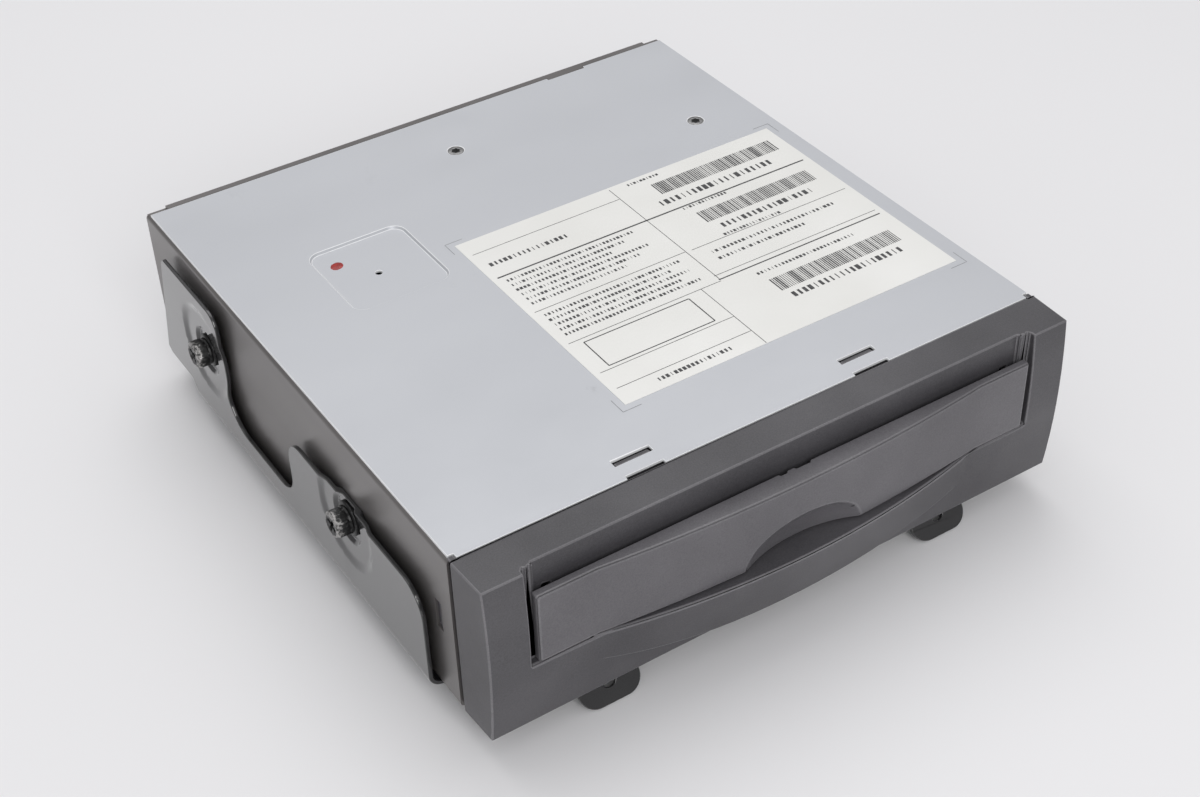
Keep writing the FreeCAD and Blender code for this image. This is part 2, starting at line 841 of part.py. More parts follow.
def eject_switch():
    """Push switch on the front board, bored for its plunger."""
    y = switch_front_y()
    body = block(button_x - 3.1, button_x + 3.1, y, y + 3.4, button_z - 3.1, button_z + 3.1)
    legs = []
    for side_x in (-1, 1):
        for side_z in (-1, 1):
            x = button_x + side_x * 3.4
            z = button_z + side_z * 2.2
            legs.append(block(x - 0.4, x + 0.4, y + 3.1, y + 3.4, z - 0.4, z + 0.4))
    hole = bore("y", plunger_r + running_gap, (button_x, y - 1, button_z), 3.2)
    return join([body] + legs).cut(hole)


def front_board_y():
    return switch_front_y() + 3.4


def front_board():
    """Small upright board that carries the eject switch."""
    y = front_board_y()
    board = block(button_x - front_board_left, button_x + front_board_right, y, y + front_board_thick,
                  front_board_low, front_board_high)
    return board.cut([bore("y", peg_r + 0.05, (x, y - 1, z), 4) for x, z in front_boss_places])


# Cradle

def wing_outline():
    """Side view of the cradle, drawn as one closed outline."""
    x = -cradle_half - 1
    top = wing_lobe_top
    front = wing_front_top
    waist = wing_waist_z
    low = -cradle_sheet
    r_front = 9.0
    r_lobe = 5.0
    r_waist = 11.0
    r_ear = 8.0

    def at(y, z):
        return (x, y, z)

    def bend(cy, cz, r, a0, a1):
        p = [at(cy + r * math.cos(math.radians(a)), cz + r * math.sin(math.radians(a)))
             for a in (a0, (a0 + a1) / 2, a1)]
        return arc(*p)

    front_y = cradle_front
    lobe_y = wing_lobe_front
    ear_y = wing_ear_rear
    step_y = cradle_base_rear + 2.0
    edges = [line(at(front_y, low), at(front_y, front - r_front)),
             bend(front_y + r_front, front - r_front, r_front, 180, 90),
             line(at(front_y + r_front, front), at(ear_y - r_ear, front)),
             bend(ear_y - r_ear, front - r_ear, r_ear, 90, 0),
             line(at(ear_y, front - r_ear), at(ear_y, waist + r_ear)),
             bend(ear_y + r_ear, waist + r_ear, r_ear, 180, 270),
             line(at(ear_y + r_ear, waist), at(lobe_y - r_waist, waist)),
             bend(lobe_y - r_waist, waist + r_waist, r_waist, 270, 360),
             line(at(lobe_y, waist + r_waist), at(lobe_y, top - r_lobe)),
             bend(lobe_y + r_lobe, top - r_lobe, r_lobe, 180, 90),
             line(at(lobe_y + r_lobe, top), at(wing_rear_top - 1.5, top)),
             line(at(wing_rear_top - 1.5, top), at(wing_rear_top + 0.5, top - 2.0)),
             line(at(wing_rear_top + 0.5, top - 2.0), at(wing_rear_bottom, wing_tail_z + 1.5)),
             line(at(wing_rear_bottom, wing_tail_z + 1.5), at(wing_rear_bottom - 2.5, wing_tail_z)),
             line(at(wing_rear_bottom - 2.5, wing_tail_z), at(step_y, wing_tail_z)),
             line(at(step_y, wing_tail_z), at(cradle_base_rear, wing_tail_z - 2.5)),
             line(at(cradle_base_rear, wing_tail_z - 2.5), at(cradle_base_rear, low)),
             line(at(cradle_base_rear, low), at(front_y, low))]
    return outline(edges, (2 * cradle_half + 2, 0, 0))


def cradle_channel():
    """A U-shaped channel that the side view is cut from."""
    w = cradle_half
    t = cradle_sheet
    outer = block(-w, w, 0, case_depth, -t, 60)
    low = [e for e in along(outer, "y") if e.BoundBox.ZMax < 0]
    outer = outer.makeFillet(cradle_bend, low)
    inner = block(-w + t, w - t, -1, case_depth + 1, 0, 61)
    low = [e for e in along(inner, "y") if e.BoundBox.ZMax < 1]
    inner = inner.makeFillet(cradle_bend - t, low)
    return outer.cut(inner)


def dish(y, grow_in, x0, x1):
    """A shallow cone about a cradle screw on the right side."""
    cone = frustum(dish_r - dish_slope + grow_in, dish_r + grow_in, 0, x1 - x0, 24)
    return moved(turned_to(cone, "x"), x0, y, wing_screw_z)


def bead(y, inset, low):
    """A stiffening bead pressed down across the base, with sloping flanks and ends."""
    w = bead_half - inset
    d = bead_width / 2 - inset * 0.6
    slope = bead_depth
    top = 0 if inset > 0 else -cradle_sheet / 2
    rings = []
    for z, taper in ((low, slope), (top, 0)):
        a = w - taper
        b = d - taper
        rings.append([V(-a, y - b, z), V(a, y - b, z), V(a, y + b, z), V(-a, y + b, z)])
    return tapered(*rings)


def cradle_tab():
    """A tongue from the base that turns down to a rounded, holed tab."""
    t = cradle_sheet
    a = math.radians(tab_angle)
    plate = block(-tab_width / 2, tab_width / 2, 0, tab_length + 1.2, 0, t)
    tip = [e for e in along(plate, "z") if e.BoundBox.YMax < 0.1]
    plate = plate.makeFillet(tab_corner, tip)
    plate = plate.cut(rod("z", tab_hole_r, (0, tab_hole_up, -1), t + 2))
    plate.translate(V(0, 0, -t))
    plate.rotate(V(0, 0, 0), V(1, 0, 0), tab_angle)
    plate.translate(V(0, tab_tip_y, tab_tip_z))
    rise = -tab_tip_z / math.sin(a)
    bend_y = tab_tip_y + rise * math.cos(a)
    keep = block(-20, 20, -40, 40, -30, 0)
    plate = plate.common(keep)
    start = bend_y + t * math.tan(a / 2) - t * 0.6
    tongue = block(-tab_width / 2, tab_width / 2, start, cradle_front + 3, -t, 0)
    return join([plate, tongue])


def mounting_cradle():
    """Base, two wings with pressed dishes at the screws, stiffening beads and four sloping tabs."""
    w = cradle_half
    t = cradle_sheet
    profile = wing_outline()
    cradle = cradle_channel().common(profile)
    for y in wing_screw_y:
        hole = dish(y, -0.3, half - 1, w + 0.01)
        cup = dish(y, 0, half, w).cut(dish(y, -1.3, half + t, w + 0.5))
        cup = cup.common(profile).cut(bore("x", dish_hole_r, (half - 2, y, wing_screw_z), 6))
        for one_hole, one_cup in zip(pair(hole), pair(cup)):
            cradle = cradle.cut(one_hole).fuse(one_cup)
    for y in bead_y:
        ridge = bead(y, 0, -t - bead_depth)
        trough = bead(y, t, -bead_depth)
        cradle = cradle.fuse(ridge).cut(trough)
    front = cradle_tab()
    rear = front.mirror(V(0, (cradle_front + cradle_base_rear) / 2, 0), V(0, 1, 0))
    tabs = []
    for tab in (front, rear):
        tabs += pair(moved(tab, tab_x, 0, 0))
    return join([cradle] + tabs)


def cradle_screws():
    """Hexagon-headed screws with a cross recess, one in each dish."""
    seat = half + cradle_sheet + washer_thick
    screws = []
    for y in wing_screw_y:
        head = hexagon(screw_head_flats, screw_head_height)
        cross = [block(-2.0, 2.0, -0.5, 0.5, screw_head_height - screw_recess, screw_head_height + 1),
                 block(-0.5, 0.5, -2.0, 2.0, screw_head_height - screw_recess, screw_head_height + 1)]
        head = head.cut(cross)
        shank = sided(screw_shank_r, screw_length)
        screw = turned_to(join([head, moved(shank, 0, 0, -screw_length)]), "x")
        screws += pair(moved(screw, seat, y, wing_screw_z))
    return Part.makeCompound(screws)


def cradle_washers():
    rings = []
    for y in wing_screw_y:
        start = (half + cradle_sheet, y, wing_screw_z)
        ring = moved(turned_to(prism(20, washer_r, washer_thick), "x"), *start)
        rings += pair(ring.cut(bore("x", screw_shank_r + 0.15, (half, y, wing_screw_z), 5)))
    return Part.makeCompound(rings)


def cradle_nuts():
    """Weld nuts inside the case's sides."""
    nuts = []
    for y in wing_screw_y:
        nut = hexagon(nut_flats, nut_thick).cut(moved(sided(screw_shank_r + 0.02, nut_thick + 2), 0, 0, -1))
        nuts += pair(moved(turned_to(nut, "x"), inner_half - nut_thick, y, wing_screw_z))
    return Part.makeCompound(nuts)


# Main board

def board_support_places():
    x = board_half - support_inset_x
    front = board_y0 + support_inset_y
    rear = board_y1 - support_inset_y
    return [(-x, front), (x, front), (-x, rear), (x, rear)]


def main_board():
    board = block(-board_half, board_half, board_y0, board_y1, board_z, board_z + board_thick)
    cuts = []
    for x, y in cover_screw_places:
        cuts.append(moved(prism(6, cover_post_r + board_gap, 20), x, y, 0))
    for x, y in ear_places:
        if y > board_y0:
            cuts.append(moved(prism(6, post_r + board_gap, 20), x, y, 0))
    for x, y in board_support_places():
        cuts.append(bore("z", support_neck_r + 0.1, (x, y, 0), 20))
    return board.cut(cuts)


def board_supports():
    """Moulded supports: a foot on the floor, a neck through the board and a snapped head on top."""
    supports = []
    for x, y in board_support_places():
        foot = prism(6, support_r, board_z - case_sheet)
        neck = sided(support_neck_r, board_z + board_thick + 0.5 - case_sheet)
        head = moved(prism(6, support_neck_r + 0.9, support_head), 0, 0, board_z + board_thick - case_sheet)
        supports.append(moved(join([foot, neck, head]), x, y, case_sheet))
    return Part.makeCompound(supports)


def on_board(x, y, width, length, height):
    return block(x, x + width, y, y + length, board_top, board_top + height)


def board_chips():
    """Processor, memories, driver and the flat cable's socket; the last two are placed from the rear edge."""
    chips = [on_board(*processor, chip_height)]
    for k in range(memory_count):
        chips.append(on_board(memory_x + k * memory_pitch, memory_y, memory_width, memory_length, memory_height))
    chips.append(on_board(*signal_chip, chip_height))
    for (x, y, width, length), height in ((driver_chip, chip_height), (ribbon_socket, ribbon_socket_height)):
        chips.append(on_board(x, board_y1 + y, width, length, height))
    return Part.makeCompound(chips)


def board_capacitors():
    cans = []
    for inset in tall_can_insets:
        cans.append(bar("z", tall_can_r, (board_half - inset, board_y1 - tall_can_rear, board_top), tall_can_height))
    place = (board_half - short_can_inset, board_y1 - short_can_rear, board_top)
    cans.append(bar("z", short_can_r, place, short_can_height))
    return Part.makeCompound(cans)


def receiver_can():
    """Tinned screening can over the satellite receiver, beside its aerial socket."""
    t = receiver_sheet
    x1 = receiver_x + receiver_width
    y1 = board_y1 - receiver_rear
    y0 = y1 - receiver_length
    can = rounded_block(receiver_x, x1, y0, y1, board_top, board_top + receiver_height, 1.0, "z")
    return can.cut(block(receiver_x + t, x1 - t, y0 + t, y1 - t, board_top - 1, board_top + receiver_height - t))


def heat_sink():
    """Finned aluminium block over the voltage regulator."""
    x0 = -board_half + sink_inset
    y0 = board_y1 - sink_rear - sink_length
    fins = []
    for k in range(sink_fins):
        fins.append(on_board(x0 + k * sink_pitch, y0, sink_fin, sink_length, sink_height))
    return join([on_board(x0, y0, sink_width, sink_length, sink_foot)] + fins)


# Rear sockets

def rear_plug_hole(clearance):
    w = rear_plug_width / 2 + clearance
    h = rear_plug_height / 2 + clearance
    return block(rear_plug_x - w, rear_plug_x + w, case_depth - 3, case_depth + 3,
                 rear_plug_z - h, rear_plug_z + h)


def fibre_z0():
    return board_top


def fibre_hole(clearance):
    return block(fibre_x - fibre_width / 2 - clearance, fibre_x + fibre_width / 2 + clearance,
                 case_depth - 3, case_depth + 3, fibre_z0() - clearance, fibre_z0() + fibre_height + clearance)


def main_connector():
    """Keyed multi-way header for the supply and the car's network."""
    w = rear_plug_width / 2
    h = rear_plug_height / 2
    y1 = case_depth + rear_plug_reach
    y0 = y1 - rear_plug_depth
    top = board_z + board_thick
    body = rounded_block(rear_plug_x - w, rear_plug_x + w, y0, y1, rear_plug_z - h, rear_plug_z + h, 1.2, "y")
    foot = block(rear_plug_x - w + 2, rear_plug_x + w - 2, y0, board_y1, top, rear_plug_z - h + 0.5)
    hollow = block(rear_plug_x - w + plug_wall, rear_plug_x + w - plug_wall, y1 - plug_cavity, y1 + 1,
                   rear_plug_z - h + plug_wall, rear_plug_z + h - plug_wall)
    keys = [block(rear_plug_x - 9, rear_plug_x - 6, y1 - plug_cavity, y1 + 1, rear_plug_z + h - 2.5,
                  rear_plug_z + h - 0.8),
            block(rear_plug_x + 6, rear_plug_x + 9, y1 - plug_cavity, y1 + 1, rear_plug_z + h - 2.5,
                  rear_plug_z + h - 0.8)]
    return join([body, foot]).cut([hollow] + keys)


def connector_pins():
    y1 = case_depth + rear_plug_reach - plug_cavity
    pins = []
    for row in (-1, 1):
        for k in range(14):
            x = rear_plug_x + (k - 6.5) * pin_pitch
            z = rear_plug_z + row * pin_pitch
            s = pin_size / 2
            pins.append(block(x - s, x + s, y1, y1 + pin_reach, z - s, z + s))
    return Part.makeCompound(pins)


def fibre_socket():
    """Two-way socket for the optical ring of the car."""
    w = fibre_width / 2
    y1 = case_depth + fibre_reach
    y0 = y1 - fibre_depth
    inner = y1 - fibre_cavity
    z0 = fibre_z0()
    z1 = z0 + fibre_height
    body = block(fibre_x - w, fibre_x + w, y0, y1, z0, z1)
    cavity = block(fibre_x - w + fibre_wall, fibre_x + w - fibre_wall, inner, y1 + 1, z0 + 2.0, z1 - 2.5)
    body = body.cut([cavity, block(fibre_x - 3, fibre_x + 3, inner, y1 + 1, z1 - 3, z1 + 1)])
    eyes = []
    for x in (fibre_x - fibre_eye_x, fibre_x + fibre_eye_x):
        centre = z0 + fibre_height / 2 - 0.3
        eye = bar("y", 2.0, (x, inner - 1, centre), 4)
        eyes.append(eye.cut(bore("y", 1.1, (x, inner + 1, centre), 4)))
    return join([body] + eyes)


def aerial_socket():
    """Round coaxial socket for the satellite aerial."""
    y1 = case_depth + aerial_reach
    w = aerial_body_half
    base = block(aerial_x - w, aerial_x + w, case_depth - aerial_body_depth, case_depth - case_sheet - 0.2,
                 board_top, aerial_z + w)
    tube = rod("y", aerial_r, (aerial_x, case_depth - 8, aerial_z), 8 + aerial_reach)
    key = block(aerial_x - 0.8, aerial_x + 0.8, case_depth + 1.0, y1, aerial_z, aerial_z + aerial_r + 1.0)
    body = join([base, tube, key]).cut(bore("y", aerial_bore_r, (aerial_x, y1 - 9, aerial_z), 10))
    return join([body, bar("y", 0.6, (aerial_x, y1 - 9.5, aerial_z), 6)])


# Disc drive

def drive_frame():
    """Pressed steel frame: a deck with openings, side walls for the roller and arm, and four ears."""
    t = drive_sheet
    w = drive_half
    deck = block(-w, w, drive_y0, drive_y1, deck_z, deck_z + t)
    walls = pair(block(w - t, w, 4.0, drive_y1, deck_z, drive_wall_top))
    skirt = block(w - t, w, 17.0, 32.0, 3.2, deck_z + 0.5)
    parts = [deck, skirt] + walls
    for x, y in ear_places:
        side = 1 if x > 0 else -1
        x0 = side * (w - 1)
        x1 = x + side * ear_r
        ear = block(min(x0, x1), max(x0, x1), y - ear_r, y + ear_r, deck_z, deck_z + t)
        outer = [e for e in along(ear, "z") if abs(e.BoundBox.XMin) > w]
        parts.append(ear.makeChamfer(3.0, outer))
    lugs = []
    for y in (rod_y0 - 2.0, rod_y1 - 1.6):
        lug = block(rod_x - 3, rod_x + 3, y, y + 2.0, deck_z + 0.2, rod_z + 3)
        lugs += pair(lug)
    end_lug = block(screw_x - 3.2, screw_x + 3.2, drive_y1 - 2.6, drive_y1 - 0.6, deck_z + 0.2, screw_z + 3.2)
    frame = join(parts + lugs + [end_lug])
    cuts = [block(-sled_half_width - 1.5, sled_half_width + 1.5, sled_y - sled_half_length - 1.0,
                  sled_y + sled_travel + sled_half_length + 1.0, deck_z - 1, deck_z + t + 0.001)]
    cuts.append(bore("z", motor_boss_r + 0.3, (0, disc_y, deck_z - 1), 4))
    cuts.append(block(screw_x - feed_motor_r - 0.8, screw_x + feed_motor_r + 0.8, motor_y1() - feed_motor_length - 1,
                      motor_y1() + 0.5, deck_z - 1, deck_z + t + 0.001))
    cuts.append(block(34.0, w - t, 17.0, 31.0, deck_z - 1, deck_z + t + 0.001))
    for x, y in ear_places:
        cuts.append(moved(sided(damper_groove_r + 0.03, 4), x, y, deck_z - 1))
    for side in (-1, 1):
        cuts.append(block(side * 66 - 12, side * 66 + 12, 60, 90, drive_wall_top - 6, drive_wall_top + 1))
    cuts.append(bore("x", roller_shaft_r + 0.04, (-w - 1, roller_y, roller_z), 2 * w + 2))
    cuts.append(bore("x", 2.2, (w - t - 1, motor_place()[0], motor_place()[1]), 4))
    cuts.append(bore("y", feed_neck_r + 0.1, (screw_x, drive_y1 - 5, screw_z), 8))
    return frame.cut(cuts)


def drive_posts():
    """Posts riveted to the floor, with a stud that carries the drive on its dampers."""
    posts = []
    for x, y in ear_places:
        foot = prism(6, post_r, damper_z0 - case_sheet)
        stud = sided(post_neck_r, damper_z1 + drive_nut + 0.6 - case_sheet)
        posts.append(moved(join([foot, stud]), x, y, case_sheet))
    return Part.makeCompound(posts)


def drive_dampers():
    """Rubber bushes, grooved to hold the ears of the frame."""
    low = prism(12, damper_r, deck_z - 0.02 - damper_z0)
    core = sided(damper_groove_r, damper_z1 - damper_z0)
    high_start = deck_z + drive_sheet + 0.02
    high = moved(prism(12, damper_r, damper_z1 - high_start), 0, 0, high_start - damper_z0)
    bush = join([low, core, high]).cut(moved(sided(damper_bore_r, 20), 0, 0, -1))
    return Part.makeCompound([moved(bush, x, y, damper_z0) for x, y in ear_places])


def drive_nuts():
    nut = hexagon(2 * post_r, drive_nut).cut(moved(sided(post_neck_r + 0.02, drive_nut + 2), 0, 0, -1))
    return Part.makeCompound([moved(nut, x, y, damper_z1) for x, y in ear_places])


def spindle_motor():
    """Flat disc motor under the deck, with a bush for the spindle."""
    low = deck_z - motor_height
    can = frustum(motor_r, motor_r, low, deck_z)
    bush = frustum(motor_boss_r, motor_boss_r, deck_z, deck_z + 2.4)
    hole = bore("z", spindle_r + 0.03, (0, 0, low + 1.0), motor_height + 4)
    return moved(join([can, bush]).cut(hole), 0, disc_y, 0)


def spindle_shaft():
    low = deck_z - motor_height + 1.1
    return bar("z", spindle_r, (0, disc_y, low), hub_top - 1.0 - low)


def turntable():
    """Disc rest with a tapered centring hub, slit into three leaf claws."""
    base = disc_z - 2.2
    rest = frustum(turntable_r, turntable_r, base, disc_z)
    hub = frustum(hub_r, hub_r, disc_z, disc_z + 1.4)
    taper = frustum(hub_r, hub_r - 1.6, disc_z + 1.4, hub_top)
    cuts = [bar("z", spindle_r, (0, 0, base - 1), hub_top - base + 2)]
    for k in range(3):
        slot = block(3.2, hub_r + 1, -0.4, 0.4, disc_z + 0.3, hub_top + 1)
        slot.rotate(V(0, 0, 0), V(0, 0, 1), 120 * k)
        cuts.append(slot)
    return moved(join([rest, hub, taper]).cut(cuts), 0, disc_y, 0)


def clamp_arm():
    """Wide sheet arm, pivoted on both walls behind the disc, which carries the clamping puck."""
    z0 = arm_z
    z1 = arm_z + arm_sheet
    ear_x = drive_half - drive_sheet - 0.5
    tongue = polygon([(-9, disc_y - 4, z0), (9, disc_y - 4, z0), (16, disc_y + 22, z0), (ear_x, arm_pivot_y - 10, z0),
                      (ear_x, arm_pivot_y + 8, z0), (-ear_x, arm_pivot_y + 8, z0),
                      (-ear_x, arm_pivot_y - 10, z0), (-16, disc_y + 22, z0)], (0, 0, z1 - z0))
    nose = bar("z", 9.0, (0, disc_y, z0), z1 - z0)
    ears = pair(block(ear_x - arm_sheet, ear_x, arm_pivot_y - 5, arm_pivot_y + 5, arm_pivot_z - 3.0, z1))
    y1 = arm_pivot_y + 2
    slots = pair(polygon([(20, y1 - 28, z0 - 1), (44, y1 - 14, z0 - 1), (44, y1, z0 - 1), (20, y1, z0 - 1)],
                         (0, 0, 4)))
    ribs = pair(polygon([(5, disc_y + 12, z1 - 0.1), (7, disc_y + 12, z1 - 0.1), (14, y1, z1 - 0.1),
                         (12, y1, z1 - 0.1)], (0, 0, 1.2)))
    arm = join([tongue, nose] + ears + ribs)
    holes = [bore("z", puck_neck_r + 0.7, (0, disc_y, z0 - 1), 4)]
    holes.append(bore("x", pivot_r + running_gap, (-ear_x - 1, arm_pivot_y, arm_pivot_z), 2 * ear_x + 2))
    return arm.cut(holes + slots)


def clamp_pivots():
    """Two pins riveted to the frame's walls for the arm."""
    length = 0.5 + arm_sheet + 1.0
    start = (drive_half - drive_sheet - length, arm_pivot_y, arm_pivot_z)
    return Part.makeCompound(pair(bar("x", pivot_r, start, length)))


def clamp_puck():
    """Plastic puck that closes over the hub, hung in the arm by a shouldered neck."""
    low = disc_z + puck_gap
    top = low + puck_flange
    head = arm_z + arm_sheet + running_gap
    flange = frustum(puck_r, puck_r, low, top)
    neck = frustum(puck_neck_r, puck_neck_r, top, head)
    cap = frustum(puck_head_r, puck_head_r, head, head + 1.6)
    hollow = frustum(hub_r + 0.8, hub_r + 0.8, low - 1, hub_top + 0.35)
    return moved(join([flange, neck, cap]).cut(hollow), 0, disc_y, 0)


def disc_guide():
    """Moulded guide above the disc's path, opposite the roller."""
    low = disc_z + disc_thick + guide_gap
    top = low + guide_thick
    edge = drive_half - drive_sheet
    w = guide_thick / 2
    plate = block(-edge, edge, guide_y0, guide_y1, low, top)
    cheeks = pair(block(edge - guide_thick, edge, guide_cheek_y, guide_y1, low, drive_wall_top - 1.0))
    ribs = []
    for x in guide_ribs_x:
        ribs.append(block(x - w, x + w, guide_y0 + 1.8, guide_y1 - 2.0, top - 0.1, top + guide_rib_height))
    bow = rod("z", guide_bow_r, (0, disc_y, low - 1), 6)
    return join([plate] + cheeks + ribs).cut(bow)


def guide_rods():
    rods = []
    for side in (-1, 1):
        rods.append(bar("y", rod_r, (side * rod_x, rod_y0, rod_z), rod_y1 - rod_y0 - 1.6))
    return Part.makeCompound(rods)


def sled():
    """Optical carriage: bored bearings on one rod, an open fork on the other, and a foot for the feed screw."""
    y0 = sled_y - sled_half_length
    y1 = sled_y + sled_half_length
    body = rounded_block(-sled_half_width, sled_half_width, y0, y1, sled_z0, sled_z1, 2.5, "z")
    waist = pair(block(15, sled_half_width + 1, y0 + 5, y1 - 5, sled_z0 - 1, sled_z0 + 1.4))
    foot = block(sled_half_width - 1, screw_x - screw_r - 0.15, sled_y - 3, sled_y + 3, screw_z - 1.2, screw_z + 1.2)
    cuts = [bore("y", rod_r + running_gap, (-rod_x, y0 - 1, rod_z), y1 - y0 + 2)]
    cuts.append(block(rod_x - rod_r - 0.1, rod_x + rod_r + 0.1, y0 - 1, y1 + 1, sled_z0 - 1, rod_z + rod_r + 0.1))
    well_r = lens_holder_r + lens_gap
    cuts.append(moved(frustum(well_r, well_r, sled_z0 + 2.2, sled_z0 + 12), 0, sled_y, 0))
    well = [block(-12, 12, sled_y - 8.6, sled_y - 7.2, sled_z1 - 1.2, sled_z1 + 1),
            block(-12, 12, sled_y + 7.2, sled_y + 8.6, sled_z1 - 1.2, sled_z1 + 1)]
    return join([body, foot]).cut(cuts + waist + well)


def lens_holder():
    """Focusing lens in its moving mount."""
    low = sled_z0 + 2.2 + lens_gap
    top = disc_z - 1.6
    mount = frustum(lens_holder_r, lens_holder_r, low, sled_z1 + 0.8)
    lens = frustum(lens_holder_r, lens_r, sled_z1 + 0.8, top)
    return moved(join([mount, lens]), 0, sled_y, 0)


def motor_y1():
    """Front of the feed screw, where its motor ends."""
    return rod_y0 - 1.2


def lead_screw():
    """Feed screw with a rounded tip in the frame's end lug and a shaft in the motor."""
    y0 = motor_y1()
    body = bar("y", screw_r, (screw_x, y0 + 0.6, screw_z), drive_y1 - 2.9 - y0 - 0.6)
    tip = bar("y", feed_neck_r, (screw_x, drive_y1 - 3.2, screw_z), 2.6)
    neck = bar("y", feed_neck_r, (screw_x, y0 - 6, screw_z), 7)
    return join([body, tip, neck])


def sled_motor():
    """Stepping motor of the feed screw."""
    y1 = motor_y1()
    can = bar("y", feed_motor_r, (screw_x, y1 - feed_motor_length, screw_z), feed_motor_length)
    flat = block(screw_x - 10, screw_x + 10, 0, 100, screw_z + feed_motor_r - 1.0, screw_z + 12)
    hole = bore("y", feed_neck_r + 0.1, (screw_x, y1 - 7, screw_z), 8)
    return can.cut([flat, hole])


# Loading roller and gears

def gear(teeth, width, hole_r, phase):
    """Spur gear along +X from X=0, its first tooth pointing at an angle in the Y-Z plane."""
    pitch_r = gear_module * teeth / 2
    tip = pitch_r + gear_module * 0.85
    root = pitch_r - gear_module * 1.15
    step = 2 * math.pi / teeth
    half_pitch = step * tooth_share / 2
    points = []
    for k in range(teeth):
        middle = math.radians(phase) + k * step
        for r, share in ((root, -1.55), (tip, -0.5), (tip, 0.5), (root, 1.55)):
            a = middle + half_pitch * share
            points.append((0, r * math.cos(a), r * math.sin(a)))
    blank = polygon(points, (width, 0, 0))
    if hole_r > 0:
        blank = blank.cut(bar("x", hole_r, (-1, 0, 0), width + 2))
    return blank


def wheel_place():
    """Axis of the stepped gear, one tooth contact from the roller's."""
    d = gear_module * (roller_teeth + pinion_teeth) / 2
    a = math.radians(wheel_angle)
    return roller_y + d * math.cos(a), roller_z - d * math.sin(a)


def motor_place():
    """Axis of the loading motor, one tooth contact from the stepped gear."""
    d = gear_module * (wheel_teeth + drive_teeth) / 2
    a = math.radians(motor_angle)
    y, z = wheel_place()
    return y + d * math.cos(a), z - d * math.sin(a)


def load_roller():
    """Rubber roller, slimmer in the middle so that it only grips the disc near its edges."""
    w = roller_half
    grip = roller_grip
    middle = bar("x", roller_middle_r, (-w + grip, 0, 0), 2 * (w - grip))
    ends = pair(bar("x", roller_end_r, (w - grip, 0, 0), grip))
    roller = join([middle] + ends).cut(bar("x", roller_shaft_r, (-w - 1, 0, 0), 2 * w + 2))
    return moved(roller, 0, roller_y, roller_z)


def roller_shaft():
    end = gear_plane + gear_width
    return bar("x", roller_shaft_r, (-drive_half - 1.5, roller_y, roller_z), drive_half + 1.5 + end)


def roller_gear():
    body = gear(roller_teeth, gear_width, roller_shaft_r, -wheel_angle)
    return moved(body, gear_plane, roller_y, roller_z)


def step_gear():
    """Large and small gear in one piece, turning on a fixed axle."""
    y, z = wheel_place()
    small = gear(pinion_teeth, gear_width + 0.5, 0, 180 - wheel_angle + 180 / pinion_teeth)
    large = gear(wheel_teeth, wheel_width, 0, -motor_angle)
    whole = join([moved(small, gear_plane, y, z), moved(large, wheel_plane, y, z)])
    return whole.cut(bore("x", pivot_r + running_gap, (gear_plane - 1, y, z), 12))


def gear_axle():
    y, z = wheel_place()
    end = wheel_plane + wheel_width + 0.3
    pin = bar("x", pivot_r, (drive_half, y, z), end - drive_half + 0.1)
    return join([pin, bar("x", pivot_r + 1.0, (end, y, z), 0.8)])


def motor_pinion():
    y, z = motor_place()
    teeth = gear(drive_teeth, wheel_width, 0, 180 - motor_angle + 180 / drive_teeth)
    shaft = bar("x", 1.0, (drive_half - drive_sheet - 6, y, z), wheel_plane + 0.5 - drive_half + drive_sheet + 6)
    return join([moved(teeth, wheel_plane, y, z), shaft])


def load_motor():
    """Flat-sided motor screwed to the frame's right wall."""
    y, z = motor_place()
    x1 = drive_half - drive_sheet
    can = bar("x", load_motor_r, (x1 - load_motor_length, y, z), load_motor_length)
    cuts = [block(0, 80, y - 10, y + 10, z + load_motor_flat, z + 12),
            block(0, 80, y - 10, y + 10, z - 12, z - load_motor_flat),
            bore("x", 1.0 + running_gap, (x1 - 7, y, z), 10)]
    return can.cut(cuts)


def drive_ribbon():
    """Flat cable from the deck's rear edge down to its socket on the main board."""
    y0 = drive_y1 + 0.1
    top = board_top + ribbon_socket_height
    t = 0.3
    r = 2.0
    high = deck_z + drive_sheet - 0.3
    edges = [line((0, y0 - 0.0, high), (0, y0 + 1.4, high)),
             arc((0, y0 + 1.4, high), (0, y0 + 1.4 + r * 0.7071, high - r * 0.2929), (0, y0 + 1.4 + r, high - r)),
             line((0, y0 + 1.4 + r, high - r), (0, y0 + 1.4 + r, top)),
             line((0, y0 + 1.4 + r, top), (0, y0 + 1.4 + r - t, top)),
             line((0, y0 + 1.4 + r - t, top), (0, y0 + 1.4 + r - t, high - r)),
             arc((0, y0 + 1.4 + r - t, high - r),
                 (0, y0 + 1.4 + (r - t) * 0.7071, high - r + (r - t) * 0.7071), (0, y0 + 1.4, high - t)),
             line((0, y0 + 1.4, high - t), (0, y0, high - t)),
             line((0, y0, high - t), (0, y0, high))]
    return moved(outline(edges, (12, 0, 0)), -56, 0, 0)


